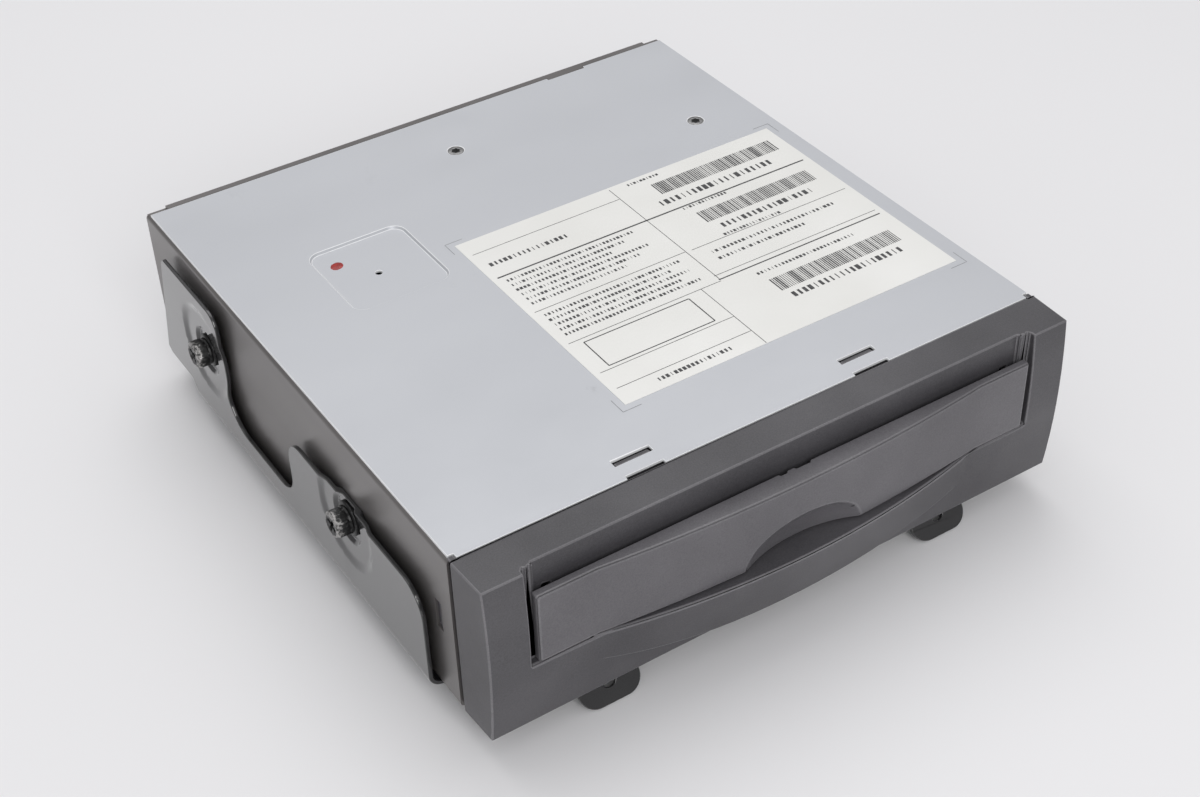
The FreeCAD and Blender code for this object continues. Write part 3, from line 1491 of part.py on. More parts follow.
nodes = {
    "chassis_tray": chassis_tray, "top_cover": top_cover, "cover_screws": cover_screws,
    "cover_posts": cover_posts, "blank_label": blank_label,
    "front_bezel": front_bezel, "slot_felts": slot_felts, "door": door,
    "door_guide_clips": door_guide_clips, "detent_springs": detent_springs,
    "eject_button": eject_button, "switch_plunger": switch_plunger, "eject_switch": eject_switch,
    "front_board": front_board,
    "mounting_cradle": mounting_cradle, "cradle_screws": cradle_screws, "cradle_washers": cradle_washers,
    "cradle_nuts": cradle_nuts,
    "main_board": main_board, "board_supports": board_supports,
    "board_chips": board_chips, "board_capacitors": board_capacitors, "receiver_can": receiver_can,
    "heat_sink": heat_sink, "main_connector": main_connector, "connector_pins": connector_pins,
    "fibre_socket": fibre_socket, "aerial_socket": aerial_socket,
    "drive_frame": drive_frame, "drive_posts": drive_posts, "drive_dampers": drive_dampers,
    "drive_nuts": drive_nuts, "spindle_motor": spindle_motor, "spindle_shaft": spindle_shaft,
    "turntable": turntable, "clamp_arm": clamp_arm, "clamp_pivots": clamp_pivots, "clamp_puck": clamp_puck,
    "disc_guide": disc_guide, "guide_rods": guide_rods, "sled": sled, "lens_holder": lens_holder,
    "lead_screw": lead_screw, "sled_motor": sled_motor,
    "load_roller": load_roller, "roller_shaft": roller_shaft, "roller_gear": roller_gear,
    "step_gear": step_gear, "gear_axle": gear_axle, "motor_pinion": motor_pinion, "load_motor": load_motor,
    "drive_ribbon": drive_ribbon,
}

os.makedirs("parts", exist_ok=True)
for name, make in nodes.items():
    shape = make()
    shape.translate(origin_shift)
    shape.exportStep("parts/" + name + ".step")
    print(name, len(shape.Solids), "valid" if shape.isValid() else "NOT VALID", round(shape.Volume, 1))
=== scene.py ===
import math
import random

import bmesh
import bpy
from mathutils import Euler, Matrix, Vector


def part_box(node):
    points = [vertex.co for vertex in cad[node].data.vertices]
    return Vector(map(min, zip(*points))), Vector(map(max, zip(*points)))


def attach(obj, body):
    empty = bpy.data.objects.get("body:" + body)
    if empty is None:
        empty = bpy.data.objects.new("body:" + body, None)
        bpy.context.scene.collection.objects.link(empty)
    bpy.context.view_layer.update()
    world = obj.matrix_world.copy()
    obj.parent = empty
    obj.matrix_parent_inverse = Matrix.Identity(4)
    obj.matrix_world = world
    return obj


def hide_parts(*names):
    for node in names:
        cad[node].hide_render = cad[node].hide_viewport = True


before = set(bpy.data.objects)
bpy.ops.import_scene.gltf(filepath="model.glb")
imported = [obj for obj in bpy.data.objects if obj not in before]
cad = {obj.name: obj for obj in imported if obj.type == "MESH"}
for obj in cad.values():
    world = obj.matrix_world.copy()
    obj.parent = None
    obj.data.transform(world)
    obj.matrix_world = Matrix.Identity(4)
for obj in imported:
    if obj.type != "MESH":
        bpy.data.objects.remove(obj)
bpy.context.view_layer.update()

# The case: a shallow tray folded from thin zinc-coated steel, its flanges turned in under the cover.
# Its coating is coloured a grey-brown, darker than the cover's zinc partly as painted shade on the side walls, and
# still shows the streaks of the rolling mill.


def new_finish(name, colour, roughness, metallic=0.0):
    """A material and its shader, with the plain values set on the shader itself."""
    material = bpy.data.materials.new(name)
    material.use_nodes = True
    shader = material.node_tree.nodes["Principled BSDF"]
    shader.inputs["Base Color"].default_value = (*colour, 1.0)
    shader.inputs["Roughness"].default_value = roughness
    shader.inputs["Metallic"].default_value = metallic
    return material, material.node_tree, shader


def add_node(tree, kind, inputs=(), **settings):
    """A node with its settings. Each named input takes a link or a plain value."""
    node = tree.nodes.new(kind)
    for key, value in settings.items():
        setattr(node, key, value)
    for target, source in inputs:
        if isinstance(source, bpy.types.NodeSocket):
            tree.links.new(source, node.inputs[target])
        else:
            node.inputs[target].default_value = source
    return node


def place_on_object(tree, stretch=(1.0, 1.0, 1.0), turn=0.0):
    """Object coordinates through a mapping that stretches or turns the pattern."""
    where = add_node(tree, "ShaderNodeTexCoord")
    mapping = add_node(tree, "ShaderNodeMapping", [("Vector", where.outputs["Object"]), ("Scale", stretch),
                                                   ("Rotation", (0.0, 0.0, turn))])
    return mapping.outputs["Vector"]


def cloud(tree, where, scale, detail=3.0, roughness=0.5):
    """A noise pattern; scale is in patches per metre."""
    noise = add_node(tree, "ShaderNodeTexNoise", [("Vector", where), ("Scale", scale), ("Detail", detail),
                                                  ("Roughness", roughness)])
    return noise.outputs["Fac"]


def tones(tree, amount, stops):
    """A colour ramp of (position, colour) stops."""
    ramp = add_node(tree, "ShaderNodeValToRGB", [("Fac", amount)])
    points = ramp.color_ramp.elements
    while len(points) < len(stops):
        points.new(0.5)
    for point, (position, colour) in zip(points, stops):
        point.position = position
        point.color = (*colour, 1.0)
    return ramp.outputs["Color"]


def span_of(tree, amount, low, high, start=0.3, end=0.7):
    """A number that runs from low to high with the pattern."""
    span = add_node(tree, "ShaderNodeMapRange", [("Value", amount), ("From Min", start), ("From Max", end),
                                                 ("To Min", low), ("To Max", high)])
    return span.outputs["Result"]


def raise_grain(tree, shader, height, distance, strength=0.5):
    """Relief of the given height, in metres."""
    bump = add_node(tree, "ShaderNodeBump", [("Height", height), ("Distance", distance), ("Strength", strength)])
    tree.links.new(bump.outputs["Normal"], shader.inputs["Normal"])


def mottled(name, dark, light, roughness, metallic=0.0, patch=60.0, stretch=(1.0, 1.0, 1.0), grain=0.0,
            grain_size=2500.0, spread=0.06, turn=0.0):
    """A finish that wanders between two tones, with a fine grain on top if a grain height is given."""
    middle = tuple((a + b) / 2 for a, b in zip(dark, light))
    material, tree, shader = new_finish(name, middle, roughness, metallic)
    amount = cloud(tree, place_on_object(tree, stretch, turn), patch)
    tree.links.new(tones(tree, amount, [(0.3, dark), (0.7, light)]), shader.inputs["Base Color"])
    tree.links.new(span_of(tree, amount, roughness + spread, roughness - spread), shader.inputs["Roughness"])
    if grain > 0.0:
        raise_grain(tree, shader, cloud(tree, place_on_object(tree), grain_size, 2.0), grain)
    return material


def dress(node, material):
    """The CAD piece keeps its shape and takes this finish."""
    mesh = cad[node].data
    mesh.materials.clear()
    mesh.materials.append(material)


def add_piece(name, mesh, body="base"):
    """A finished mesh as an object of the scene, carried by one body."""
    piece = bpy.data.objects.new(name, mesh)
    bpy.context.scene.collection.objects.link(piece)
    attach(piece, body)
    return piece


def eased(node, name, radius, material, body="base", segments=2, edge_highlight_finish=None, press=None, fold=22.0):
    """A copy of a CAD piece with its edges rounded over, which takes the piece's place.
    The rounded strips can have a paler finish of their own, a painted highlight along the edges.
    A press can form the sheet first. An edge is rounded if it folds by more than the fold, in degrees."""
    same_point = 0.000004
    same_plane = math.radians(0.4)
    mesh = cad[node].data.copy()
    mesh.name = name
    work = bmesh.new()
    work.from_mesh(mesh)
    bmesh.ops.remove_doubles(work, verts=work.verts, dist=same_point)
    bmesh.ops.dissolve_limit(work, angle_limit=same_plane, verts=work.verts, edges=work.edges)
    if press is not None:
        press(work)
    bmesh.ops.recalc_face_normals(work, faces=work.faces)
    for face in work.faces:
        face.smooth = True
        face.material_index = 0
    for edge in work.edges:
        edge.smooth = True
    work.to_mesh(mesh)
    work.free()
    mesh.materials.clear()
    mesh.materials.append(material)
    piece = add_piece(name, mesh, body)
    rounding = piece.modifiers.new("rounded_edges", "BEVEL")
    rounding.width = radius
    rounding.segments = segments
    rounding.limit_method = "ANGLE"
    rounding.angle_limit = math.radians(fold)
    rounding.miter_outer = "MITER_ARC"
    rounding.use_clamp_overlap = False
    if edge_highlight_finish is not None:
        mesh.materials.append(edge_highlight_finish)
        rounding.material = 1
    flat = piece.modifiers.new("flat_faces", "WEIGHTED_NORMAL")
    flat.weight = 100
    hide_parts(node)
    return piece


# The grey-brown tone is in part painted shade on the tray's side walls.
dull_zinc_with_painted_shade = mottled("dull_zinc_with_painted_shade", (0.155, 0.146, 0.144), (0.225, 0.213, 0.210), 0.34, metallic=0.62,
                      patch=22.0, stretch=(1.0, 0.25, 1.0), grain=0.00002, grain_size=1800.0)
dress("chassis_tray", dull_zinc_with_painted_shade)

# The cover: a flat lid of brighter zinc-coated sheet with a satin face, pressed in at one square.
# It was sheared from coil; its cut faces and rounded edges are painted near-white, bare cut steel with a painted
# highlight on it. Handling has left faint smears on it.


def sum_of(tree, operation, a, b):
    """The result of one sum on two numbers, of which either can be a plain value."""
    return add_node(tree, "ShaderNodeMath", [(0, a), (1, b)], operation=operation).outputs[0]


satin_zinc, zinc_tree, zinc_shader = new_finish("satin_zinc", (0.525, 0.54, 0.57), roughness=0.42, metallic=0.25)
sheet_tones = cloud(zinc_tree, place_on_object(zinc_tree, stretch=(0.35, 1.0, 1.0)), scale=14.0)
scuffs = cloud(zinc_tree, place_on_object(zinc_tree, stretch=(1.0, 0.7, 1.0), turn=-0.4), scale=75.0, detail=6.0,
               roughness=0.68)
scuffed = sum_of(zinc_tree, "SUBTRACT", sheet_tones,
                 span_of(zinc_tree, scuffs, low=0.0, high=0.35, start=0.66, end=0.82))
zinc_tree.links.new(tones(zinc_tree, scuffed, [(0.0, (0.36, 0.365, 0.38)), (0.3, (0.505, 0.517, 0.545)),
                                               (0.7, (0.555, 0.567, 0.595))]),
                    zinc_shader.inputs["Base Color"])
handling = cloud(zinc_tree, place_on_object(zinc_tree, stretch=(1.0, 1.6, 1.0), turn=0.5), scale=38.0, detail=5.0,
                 roughness=0.62)
zinc_tree.links.new(span_of(zinc_tree, handling, low=0.36, high=0.50), zinc_shader.inputs["Roughness"])
fine_grain = cloud(zinc_tree, place_on_object(zinc_tree), scale=1500.0, detail=2.0)
raise_grain(zinc_tree, zinc_shader, fine_grain, distance=0.000010)
# Near-white for the cut faces and rounded edge strips: bare steel, with a painted highlight.
cut_edge_highlight = mottled("cut_edge_highlight", (0.78, 0.79, 0.80), (0.86, 0.87, 0.88), 0.38, metallic=0.1, patch=120.0)

cover = eased("top_cover", "cover_sheet", 0.00013, satin_zinc, edge_highlight_finish=cut_edge_highlight)
sheet_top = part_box("top_cover")[1][2]
# Faces that stand on edge take the near-white finish, a painted highlight on the cut steel.
cut_face_lean = 0.3
for face in cover.data.polygons:
    if abs(face.normal.z) < cut_face_lean:
        face.material_index = 1

# A dot of red lacquer in the pressed square: the inspector's mark, put on with a round brush.
# It dried as a low drop, thickest in the middle, with an outline that isn't quite round.


def finished(work, name, *finishes):
    """The worked faces as a mesh, with its finishes in their order."""
    mesh = bpy.data.meshes.new(name)
    work.to_mesh(mesh)
    work.free()
    for finish in finishes:
        mesh.materials.append(finish)
    return mesh


lacquer_place = Vector((-0.0558, 0.0398))
lacquer_radius = 0.0018
lacquer_height = 0.00022
lacquer_edge = 0.00001
pressed_depth = 0.0008
pressed_floor = sheet_top - pressed_depth
dot = bmesh.new()
rings = 5
sides = 20
brush_swing = 0.07
brush_start = 0.6
brush_shake = 0.03
shaky = random.Random(3)
outline = []
for k in range(sides):
    angle = 2.0 * math.pi * k / sides
    wobble = 1.0 + brush_swing * math.sin(2.0 * angle + brush_start) + shaky.uniform(-brush_shake, brush_shake)
    outline.append((lacquer_radius * wobble * math.cos(angle), lacquer_radius * wobble * math.sin(angle)))
layers = []
for ring in range(1, rings + 1):
    share = ring / rings
    height = lacquer_height * math.sqrt(max(0.0, 1.0 - share ** 2)) + lacquer_edge
    layers.append([dot.verts.new((lacquer_place.x + share * x, lacquer_place.y + share * y, pressed_floor + height))
                   for x, y in outline])
crown = dot.verts.new((lacquer_place.x, lacquer_place.y, pressed_floor + lacquer_height))
for k in range(sides):
    m = (k + 1) % sides
    dot.faces.new((crown, layers[0][k], layers[0][m]))
    for inner, outer in zip(layers, layers[1:]):
        dot.faces.new((inner[k], outer[k], outer[m], inner[m]))
for face in dot.faces:
    face.smooth = True
red_lacquer = mottled("red_lacquer", (0.25, 0.012, 0.010), (0.40, 0.025, 0.018), 0.25, patch=900.0)
add_piece("red_lacquer_dot", finished(dot, "red_lacquer_dot", red_lacquer))

# The cover's screws: countersunk, with a six-pointed socket, flush with the sheet.
# They are steel with a dull zinc plating, and screw down into posts that stand on the floor of the tray.
dark_plating = mottled("dark_plating", (0.20, 0.20, 0.205), (0.34, 0.335, 0.33), 0.38, metallic=0.8, patch=900.0)
socket_shade = mottled("socket_shade", (0.012, 0.012, 0.012), (0.03, 0.03, 0.03), 0.7, patch=900.0)
turned_steel = mottled("turned_steel", (0.55, 0.55, 0.56), (0.68, 0.68, 0.68), 0.30, metallic=1.0, patch=300.0)


def ring_of(work, radius, height, count, centre=(0.0, 0.0), lobes=0, depth=0.0):
    """One circle of points, waved in and out where it has lobes."""
    points = []
    for k in range(count):
        a = 2.0 * math.pi * k / count
        r = radius + depth * math.cos(lobes * a)
        points.append(work.verts.new((centre[0] + r * math.cos(a), centre[1] + r * math.sin(a), height)))
    return points


def skin(work, loops, finishes=None, closed_end=True):
    """Faces between one ring of points and the next, and across the last."""
    for i, (first, second) in enumerate(zip(loops, loops[1:])):
        count = len(first)
        for k in range(count):
            face = work.faces.new((first[k], first[(k + 1) % count], second[(k + 1) % count], second[k]))
            face.smooth = True
            face.material_index = finishes[i] if finishes else 0
    if closed_end:
        face = work.faces.new(loops[-1])
        face.material_index = finishes[-1] if finishes else 0


screw_low, screw_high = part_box("cover_screws")
screw_top = screw_high[2]
head_radius = 0.00255
head_points = 48
socket_lobes = 6
# radius, height, depth of the lobes and finish of each ring, from the foot of the shank up and down the socket
head_rings = [(0.0014, screw_low[2], 0.0, 0), (0.0014, screw_top - 0.0008, 0.0, 0),
              (head_radius - 0.0001, screw_top - 0.00008, 0.0, 0), (head_radius - 0.0002, screw_top, 0.0, 0),
              (0.0015, screw_top + 0.00003, 0.0, 0), (0.0012, screw_top, 0.00016, 1),
              (0.00112, screw_top - 0.00015, 0.00016, 1), (0.0010, screw_top - 0.0009, 0.00015, 1)]
heads = bmesh.new()
for centre in ((screw_low[0] + head_radius, screw_high[1] - head_radius),
               (screw_high[0] - head_radius, screw_low[1] + head_radius)):
    loops = [ring_of(heads, radius, height, head_points, centre, socket_lobes, depth)
             for radius, height, depth, _ in head_rings]
    skin(heads, loops, [finish for *_, finish in head_rings])
    heads.faces.new(list(reversed(loops[0])))
bmesh.ops.recalc_face_normals(heads, faces=heads.faces)
socket_screws = add_piece("socket_screws", finished(heads, "socket_screws", dark_plating, socket_shade))
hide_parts("cover_screws")
dress("cover_posts", turned_steel)

# The label: white polyester film glued to the cover, printed in black and rubbed a little thin.
# Its print is ruled cells, rows of small type too fine to read, and three blocks of bars.
label_film = mottled("label_film", (0.77, 0.765, 0.735), (0.83, 0.825, 0.80), 0.38, patch=26.0, grain=0.000006,
                     grain_size=900.0)
dress("blank_label", label_film)
print_black = mottled("print_black", (0.028, 0.028, 0.030), (0.075, 0.075, 0.078), 0.5, patch=1600.0)
label_low, label_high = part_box("blank_label")
mark_lift = 0.00002
print_height = label_high[2] + mark_lift


def new_tree(name, sockets):
    """A node tree with these inputs, given as (name, type, value), and what those inputs hand on."""
    tree = bpy.data.node_groups.new(name, "GeometryNodeTree")
    for socket_name, kind, start in sockets:
        made = tree.interface.new_socket(name=socket_name, in_out="INPUT", socket_type=kind)
        if start is not None:
            made.default_value = start
    tree.interface.new_socket(name="Geometry", in_out="OUTPUT", socket_type="NodeSocketGeometry")
    return tree, tree.nodes.new("NodeGroupInput").outputs


def close_tree(tree, shape, finish):
    """The end of a tree: instances made real, and one finish on everything."""
    real = add_node(tree, "GeometryNodeRealizeInstances", [("Geometry", shape)])
    coated = add_node(tree, "GeometryNodeSetMaterial", [("Geometry", real.outputs[0]), ("Material", finish)])
    add_node(tree, "NodeGroupOutput", [("Geometry", coated.outputs[0])])


bars_tree, given = new_tree("printed_row", (
    ("Length", "NodeSocketFloat", 0.04), ("Height", "NodeSocketFloat", 0.006), ("Pitch", "NodeSocketFloat", 0.0007),
    ("Least ink", "NodeSocketFloat", 0.25), ("Most ink", "NodeSocketFloat", 0.8), ("Seed", "NodeSocketInt", 1),
    ("Start", "NodeSocketVector", (0.0, 0.0, 0.0)), ("Ink", "NodeSocketMaterial", None)))
step = add_node(bars_tree, "ShaderNodeCombineXYZ", [("X", given["Pitch"])])
line = add_node(bars_tree, "GeometryNodeMeshLine",
                [("Count", sum_of(bars_tree, "DIVIDE", given["Length"], given["Pitch"])),
                 ("Start Location", given["Start"]), ("Offset", step.outputs[0])], mode="OFFSET")
share = add_node(bars_tree, "FunctionNodeRandomValue", [("Min", given["Least ink"]), ("Max", given["Most ink"]),
                                                       ("Seed", given["Seed"])], data_type="FLOAT")
bar_width = sum_of(bars_tree, "MULTIPLY", share.outputs["Value"], given["Pitch"])
bar_size = add_node(bars_tree, "ShaderNodeCombineXYZ", [("X", bar_width), ("Y", given["Height"]), ("Z", 1.0)])
one_bar = add_node(bars_tree, "GeometryNodeMeshGrid", [("Size X", 1.0), ("Size Y", 1.0), ("Vertices X", 2),
                                                      ("Vertices Y", 2)])
laid = add_node(bars_tree, "GeometryNodeInstanceOnPoints", [("Points", line.outputs["Mesh"]),
                                                           ("Instance", one_bar.outputs["Mesh"]),
                                                           ("Scale", bar_size.outputs[0])])
close_tree(bars_tree, laid.outputs[0], given["Ink"])


def grow(name, tree, values):
    """The mesh that a node tree makes from these values."""
    seed_mesh = bpy.data.meshes.new(name)
    carrier = bpy.data.objects.new(name, seed_mesh)
    bpy.context.scene.collection.objects.link(carrier)
    nodes = carrier.modifiers.new(name, "NODES")
    nodes.node_group = tree
    ids = {item.name: item.identifier for item in tree.interface.items_tree
           if item.item_type == "SOCKET" and item.in_out == "INPUT"}
    for key, value in values.items():
        nodes[ids[key]] = value
    bpy.context.view_layer.update()
    evaluated = carrier.evaluated_get(bpy.context.evaluated_depsgraph_get())
    mesh = bpy.data.meshes.new_from_object(evaluated)
    carrier.modifiers.remove(nodes)
    bpy.data.objects.remove(carrier)
    bpy.data.meshes.remove(seed_mesh)
    return mesh


# Places on the label are in millimetres from its left front corner.
millimetre = 0.001
bar_pitch = 0.66
bar_ink = (0.28, 0.82)
type_ink = (0.10, 0.78)
line_pitch = 2.55


def label_point(x, y):
    """A place on the label as a place in the scene."""
    return label_low[0] + x * millimetre, label_low[1] + y * millimetre


# Each row is its place, length, height and pitch, its least and most ink, and its seed.
rows = []
bar_blocks = [(61.8, 73.4, 42.5, 6.0), (64.0, 54.1, 39.0, 5.8), (61.0, 16.1, 42.0, 6.0)]
for k, (x, y, length, height) in enumerate(bar_blocks):
    rows.append((x, y + height / 2, length, height, bar_pitch, *bar_ink, 11 + k))
type_rows = [(3.0, 71.5, 26.0, 1.7, 1.5), (56.0, 83.0, 12.0, 1.0, 1.1), (58.0, 69.5, 40.0, 2.5, 1.9),
             (62.0, 63.6, 16.0, 1.1, 1.1), (66.0, 50.6, 34.0, 2.2, 1.8), (64.0, 46.6, 20.0, 1.1, 1.1),
             (56.0, 41.5, 44.0, 1.2, 1.3), (56.0, 38.0, 30.0, 1.2, 1.3), (60.0, 26.0, 34.0, 1.1, 1.2),
             (62.0, 13.0, 38.0, 2.3, 1.8), (12.0, 3.6, 24.0, 1.4, 1.3)]
for k in range(6):
    type_rows.append((3.0, 62.4 - line_pitch * k, 42.0 - 5.0 * (k % 3), 1.1, 1.15))
for k in range(5):
    type_rows.append((3.0, 43.2 - line_pitch * k, 44.0 - 4.0 * (k % 2), 1.1, 1.15))
for k, type_row in enumerate(type_rows):
    rows.append((*type_row, *type_ink, 40 + k))

label_print = bmesh.new()
for x, y, length, height, pitch, least, most, seed in rows:
    start = label_point(x + pitch / 2, y)
    row_mesh = grow("printed_row", bars_tree,
                    {"Length": length * millimetre, "Height": height * millimetre, "Pitch": pitch * millimetre,
                     "Least ink": least, "Most ink": most, "Seed": seed, "Start": (*start, print_height),
                     "Ink": print_black})
    label_print.from_mesh(row_mesh)
    bpy.data.meshes.remove(row_mesh)


def stroke(work, a, b, width, height):
    """One thin line from place to place, lying flat with its face up."""
    side = (b - a).orthogonal().normalized() * width / 2
    face = work.faces.new([work.verts.new((*p, height)) for p in (a - side, b - side, b + side, a + side)])
    face.normal_update()
    if face.normal.z < 0:
        face.normal_flip()


# Each rule is its two ends and its width.
cell_rules = [(1.8, 64.9, 106.0, 64.6, 0.55), (1.8, 78.3, 50.4, 78.3, 0.2), (50.6, 84.0, 50.6, 29.8, 0.2),
              (43.8, 29.0, 43.8, 0.2, 0.2), (1.8, 45.8, 50.4, 45.8, 0.2), (1.8, 29.1, 50.4, 29.1, 0.2),
              (1.8, 14.2, 43.6, 14.2, 0.2), (1.8, 6.6, 43.6, 6.6, 0.2), (52.4, 45.5, 106.2, 45.5, 0.2),
              (50.2, 31.9, 106.0, 31.9, 0.2), (50.2, 29.8, 106.0, 29.8, 0.45)]
box_rules = [(5.4, 27.4, 38.6, 27.4, 0.35), (5.4, 15.5, 38.6, 15.5, 0.35), (5.4, 27.4, 5.4, 15.5, 0.35),
             (38.6, 27.4, 38.6, 15.5, 0.35)]
for x0, y0, x1, y1, width in cell_rules + box_rules:
    stroke(label_print, Vector(label_point(x0, y0)), Vector(label_point(x1, y1)), width * millimetre, print_height)
for face in label_print.faces:
    face.material_index = 0
add_piece("label_print", finished(label_print, "label_print", print_black))

# Fine corner strokes round the label: cut into the cover's coating, so that the label is stuck on square.
stroke_gap = 0.0020
stroke_length = 0.0055
stroke_width = 0.00018
strokes = bmesh.new()
for corner_x, way_x in ((label_low[0], -1.0), (label_high[0], 1.0)):
    for corner_y, way_y in ((label_low[1], -1.0), (label_high[1], 1.0)):
        x = corner_x + way_x * stroke_gap
        y = corner_y + way_y * stroke_gap
        for end in ((x - way_x * stroke_length, y), (x, y - way_y * stroke_length)):
            stroke(strokes, Vector((x, y)), Vector(end), stroke_width, sheet_top + mark_lift)
scored_coating = mottled("scored_coating", (0.16, 0.17, 0.18), (0.26, 0.27, 0.28), 0.5, patch=900.0)
add_piece("corner_strokes", finished(strokes, "corner_strokes", scored_coating))

# The front: one injection moulding in dark warm grey, spark-eroded to a fine even grain. Its corners carry a paler,
# smoother strip, a painted highlight along the edges. It clips into the cover and the sides of the tray.


def grained_moulding(name, dark, light, roughness, grain, grain_size):
    """Moulded plastic: broad tone, a fine eroded grain, and paler tops where the grain is rubbed."""
    middle = tuple((a + b) / 2 for a, b in zip(dark, light))
    material, tree, shader = new_finish(name, middle, roughness)
    broad = cloud(tree, place_on_object(tree), 30.0)
    fine = cloud(tree, place_on_object(tree), grain_size, 3.0, 0.6)
    both = sum_of(tree, "ADD", sum_of(tree, "MULTIPLY", broad, 0.5), sum_of(tree, "MULTIPLY", fine, 0.5))
    tree.links.new(tones(tree, both, [(0.36, dark), (0.62, light)]), shader.inputs["Base Color"])
    tree.links.new(span_of(tree, broad, roughness + 0.05, roughness - 0.04), shader.inputs["Roughness"])
    raise_grain(tree, shader, fine, grain, 0.6)
    return material


front_moulding = grained_moulding("front_moulding", (0.053, 0.051, 0.056), (0.088, 0.085, 0.092), 0.42,
                                  grain=0.00007, grain_size=2600.0)
# A paler, smoother copy of the moulding for the rounded edges: painted highlight.
edge_highlight_moulding = grained_moulding("edge_highlight_moulding", (0.120, 0.116, 0.124), (0.180, 0.175, 0.185), 0.28,
                                   grain=0.00002, grain_size=2600.0)
eased("front_bezel", "front_moulding", 0.0004, front_moulding, segments=3, edge_highlight_finish=edge_highlight_moulding)
black_felt = mottled("black_felt", (0.012, 0.012, 0.012), (0.03, 0.03, 0.03), 0.95, patch=3000.0, grain=0.0002,
                     grain_size=6000.0)
dress("slot_felts", black_felt)

# The door: the same plastic, bowed outwards in the middle, with a thumb scoop at its lower edge.
# It slides up on two lugs, held from behind by clips, against two thin spring strips.
door_moulding = grained_moulding("door_moulding", (0.092, 0.088, 0.096), (0.140, 0.135, 0.145), 0.38,
                                 grain=0.00006, grain_size=2800.0)
# Its rounded edges take the same paler strip, a painted highlight.
eased("door", "door_leaf", 0.0004, door_moulding, "door", segments=3, edge_highlight_finish=edge_highlight_moulding)
acetal = mottled("acetal", (0.72, 0.71, 0.66), (0.80, 0.79, 0.74), 0.42, patch=200.0)
bright_strip = mottled("bright_strip", (0.5, 0.5, 0.52), (0.6, 0.6, 0.62), 0.3, 1.0, patch=400.0,
                       stretch=(1.0, 1.0, 0.1))
dress("door_guide_clips", acetal)
dress("detent_springs", bright_strip)

# The eject button and its switch: a small moulded key behind the door, which presses a plunger on the
# front circuit board.
eased("eject_button", "eject_key", 0.00025, door_moulding, "button")
black_moulding = mottled("black_moulding", (0.020, 0.020, 0.022), (0.035, 0.035, 0.037), 0.5, patch=200.0,
                         grain=0.00003)
board_resist = mottled("board_resist", (0.012, 0.10, 0.035), (0.02, 0.16, 0.06), 0.32, patch=180.0)
dress("switch_plunger", acetal)
dress("eject_switch", black_moulding)
dress("front_board", board_resist)

# The cradle: one pressing of 1.2 mm steel with two wings and four sloping tabs. A round of each wing is
# pressed in about its screws. It is dipped in glossy black paint, which is a little orange-peeled.
head_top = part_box("cradle_screws")[1][0]
washer_low, washer_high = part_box("cradle_washers")
washer_radius = (washer_high[2] - washer_low[2]) / 2
axis_z = (washer_low[2] + washer_high[2]) / 2
axis_y = (washer_low[1] + washer_radius, washer_high[1] - washer_radius)
dish_from = 0.0116
dish_to = 0.0152
dish_depth = 0.0008
dish_step = 0.0007
wing_from = 0.0905


def corners_and_edges(faces):
    """The corners and edges of these faces, each once and always in the same order."""
    return (list(dict.fromkeys(v for f in faces for v in f.verts)),
            list(dict.fromkeys(e for f in faces for e in f.edges)))


def press_dishes(work):
    """Cuts the wings into small cells about the screws, and presses each round inwards."""
    same_cut = 0.00002
    still_level = math.radians(0.05)
    count = int(dish_to / dish_step) + 1
    for axis, centres in (((0.0, 1.0, 0.0), axis_y), ((0.0, 0.0, 1.0), (axis_z,))):
        for centre in centres:
            for k in range(-count, count + 1):
                plate = [f for f in work.faces if min(abs(v.co.x) for v in f.verts) > wing_from]
                verts, edges = corners_and_edges(plate)
                bmesh.ops.bisect_plane(work, geom=plate + edges + verts, dist=same_cut,
                                       plane_co=Vector(axis) * (centre + k * dish_step), plane_no=axis)
    for vertex in work.verts:
        if abs(vertex.co.x) > wing_from:
            reach = min(math.hypot(vertex.co.y - y, vertex.co.z - axis_z) for y in axis_y)
            part_way = min(1.0, max(0.0, (dish_to - reach) / (dish_to - dish_from)))
            fall = dish_depth * part_way * part_way * (3.0 - 2.0 * part_way)
            vertex.co.x -= math.copysign(fall, vertex.co.x)
    level = [f for f in work.faces if len({round(abs(v.co.x), 6) for v in f.verts}) == 1]
    verts, edges = corners_and_edges(level)
    bmesh.ops.dissolve_limit(work, angle_limit=still_level, verts=verts, edges=edges)


cradle_paint, paint_tree, paint_shader = new_finish("cradle_paint", (0.018, 0.018, 0.019), roughness=0.16)
peel = cloud(paint_tree, place_on_object(paint_tree), scale=260.0, detail=2.0)
haze = cloud(paint_tree, place_on_object(paint_tree, stretch=(1.0, 1.0, 1.6)), scale=30.0, detail=4.0)
paint_tree.links.new(tones(paint_tree, haze, [(0.35, (0.013, 0.013, 0.014)), (0.7, (0.024, 0.023, 0.024))]),
                     paint_shader.inputs["Base Color"])
paint_tree.links.new(span_of(paint_tree, haze, low=0.13, high=0.24), paint_shader.inputs["Roughness"])
raise_grain(paint_tree, paint_shader, peel, distance=0.00002, strength=0.35)
paint_shader.inputs["Coat Weight"].default_value = 0.8
paint_shader.inputs["Coat Roughness"].default_value = 0.08
eased("mounting_cradle", "cradle_pressing", 0.00025, cradle_paint, press=press_dishes)

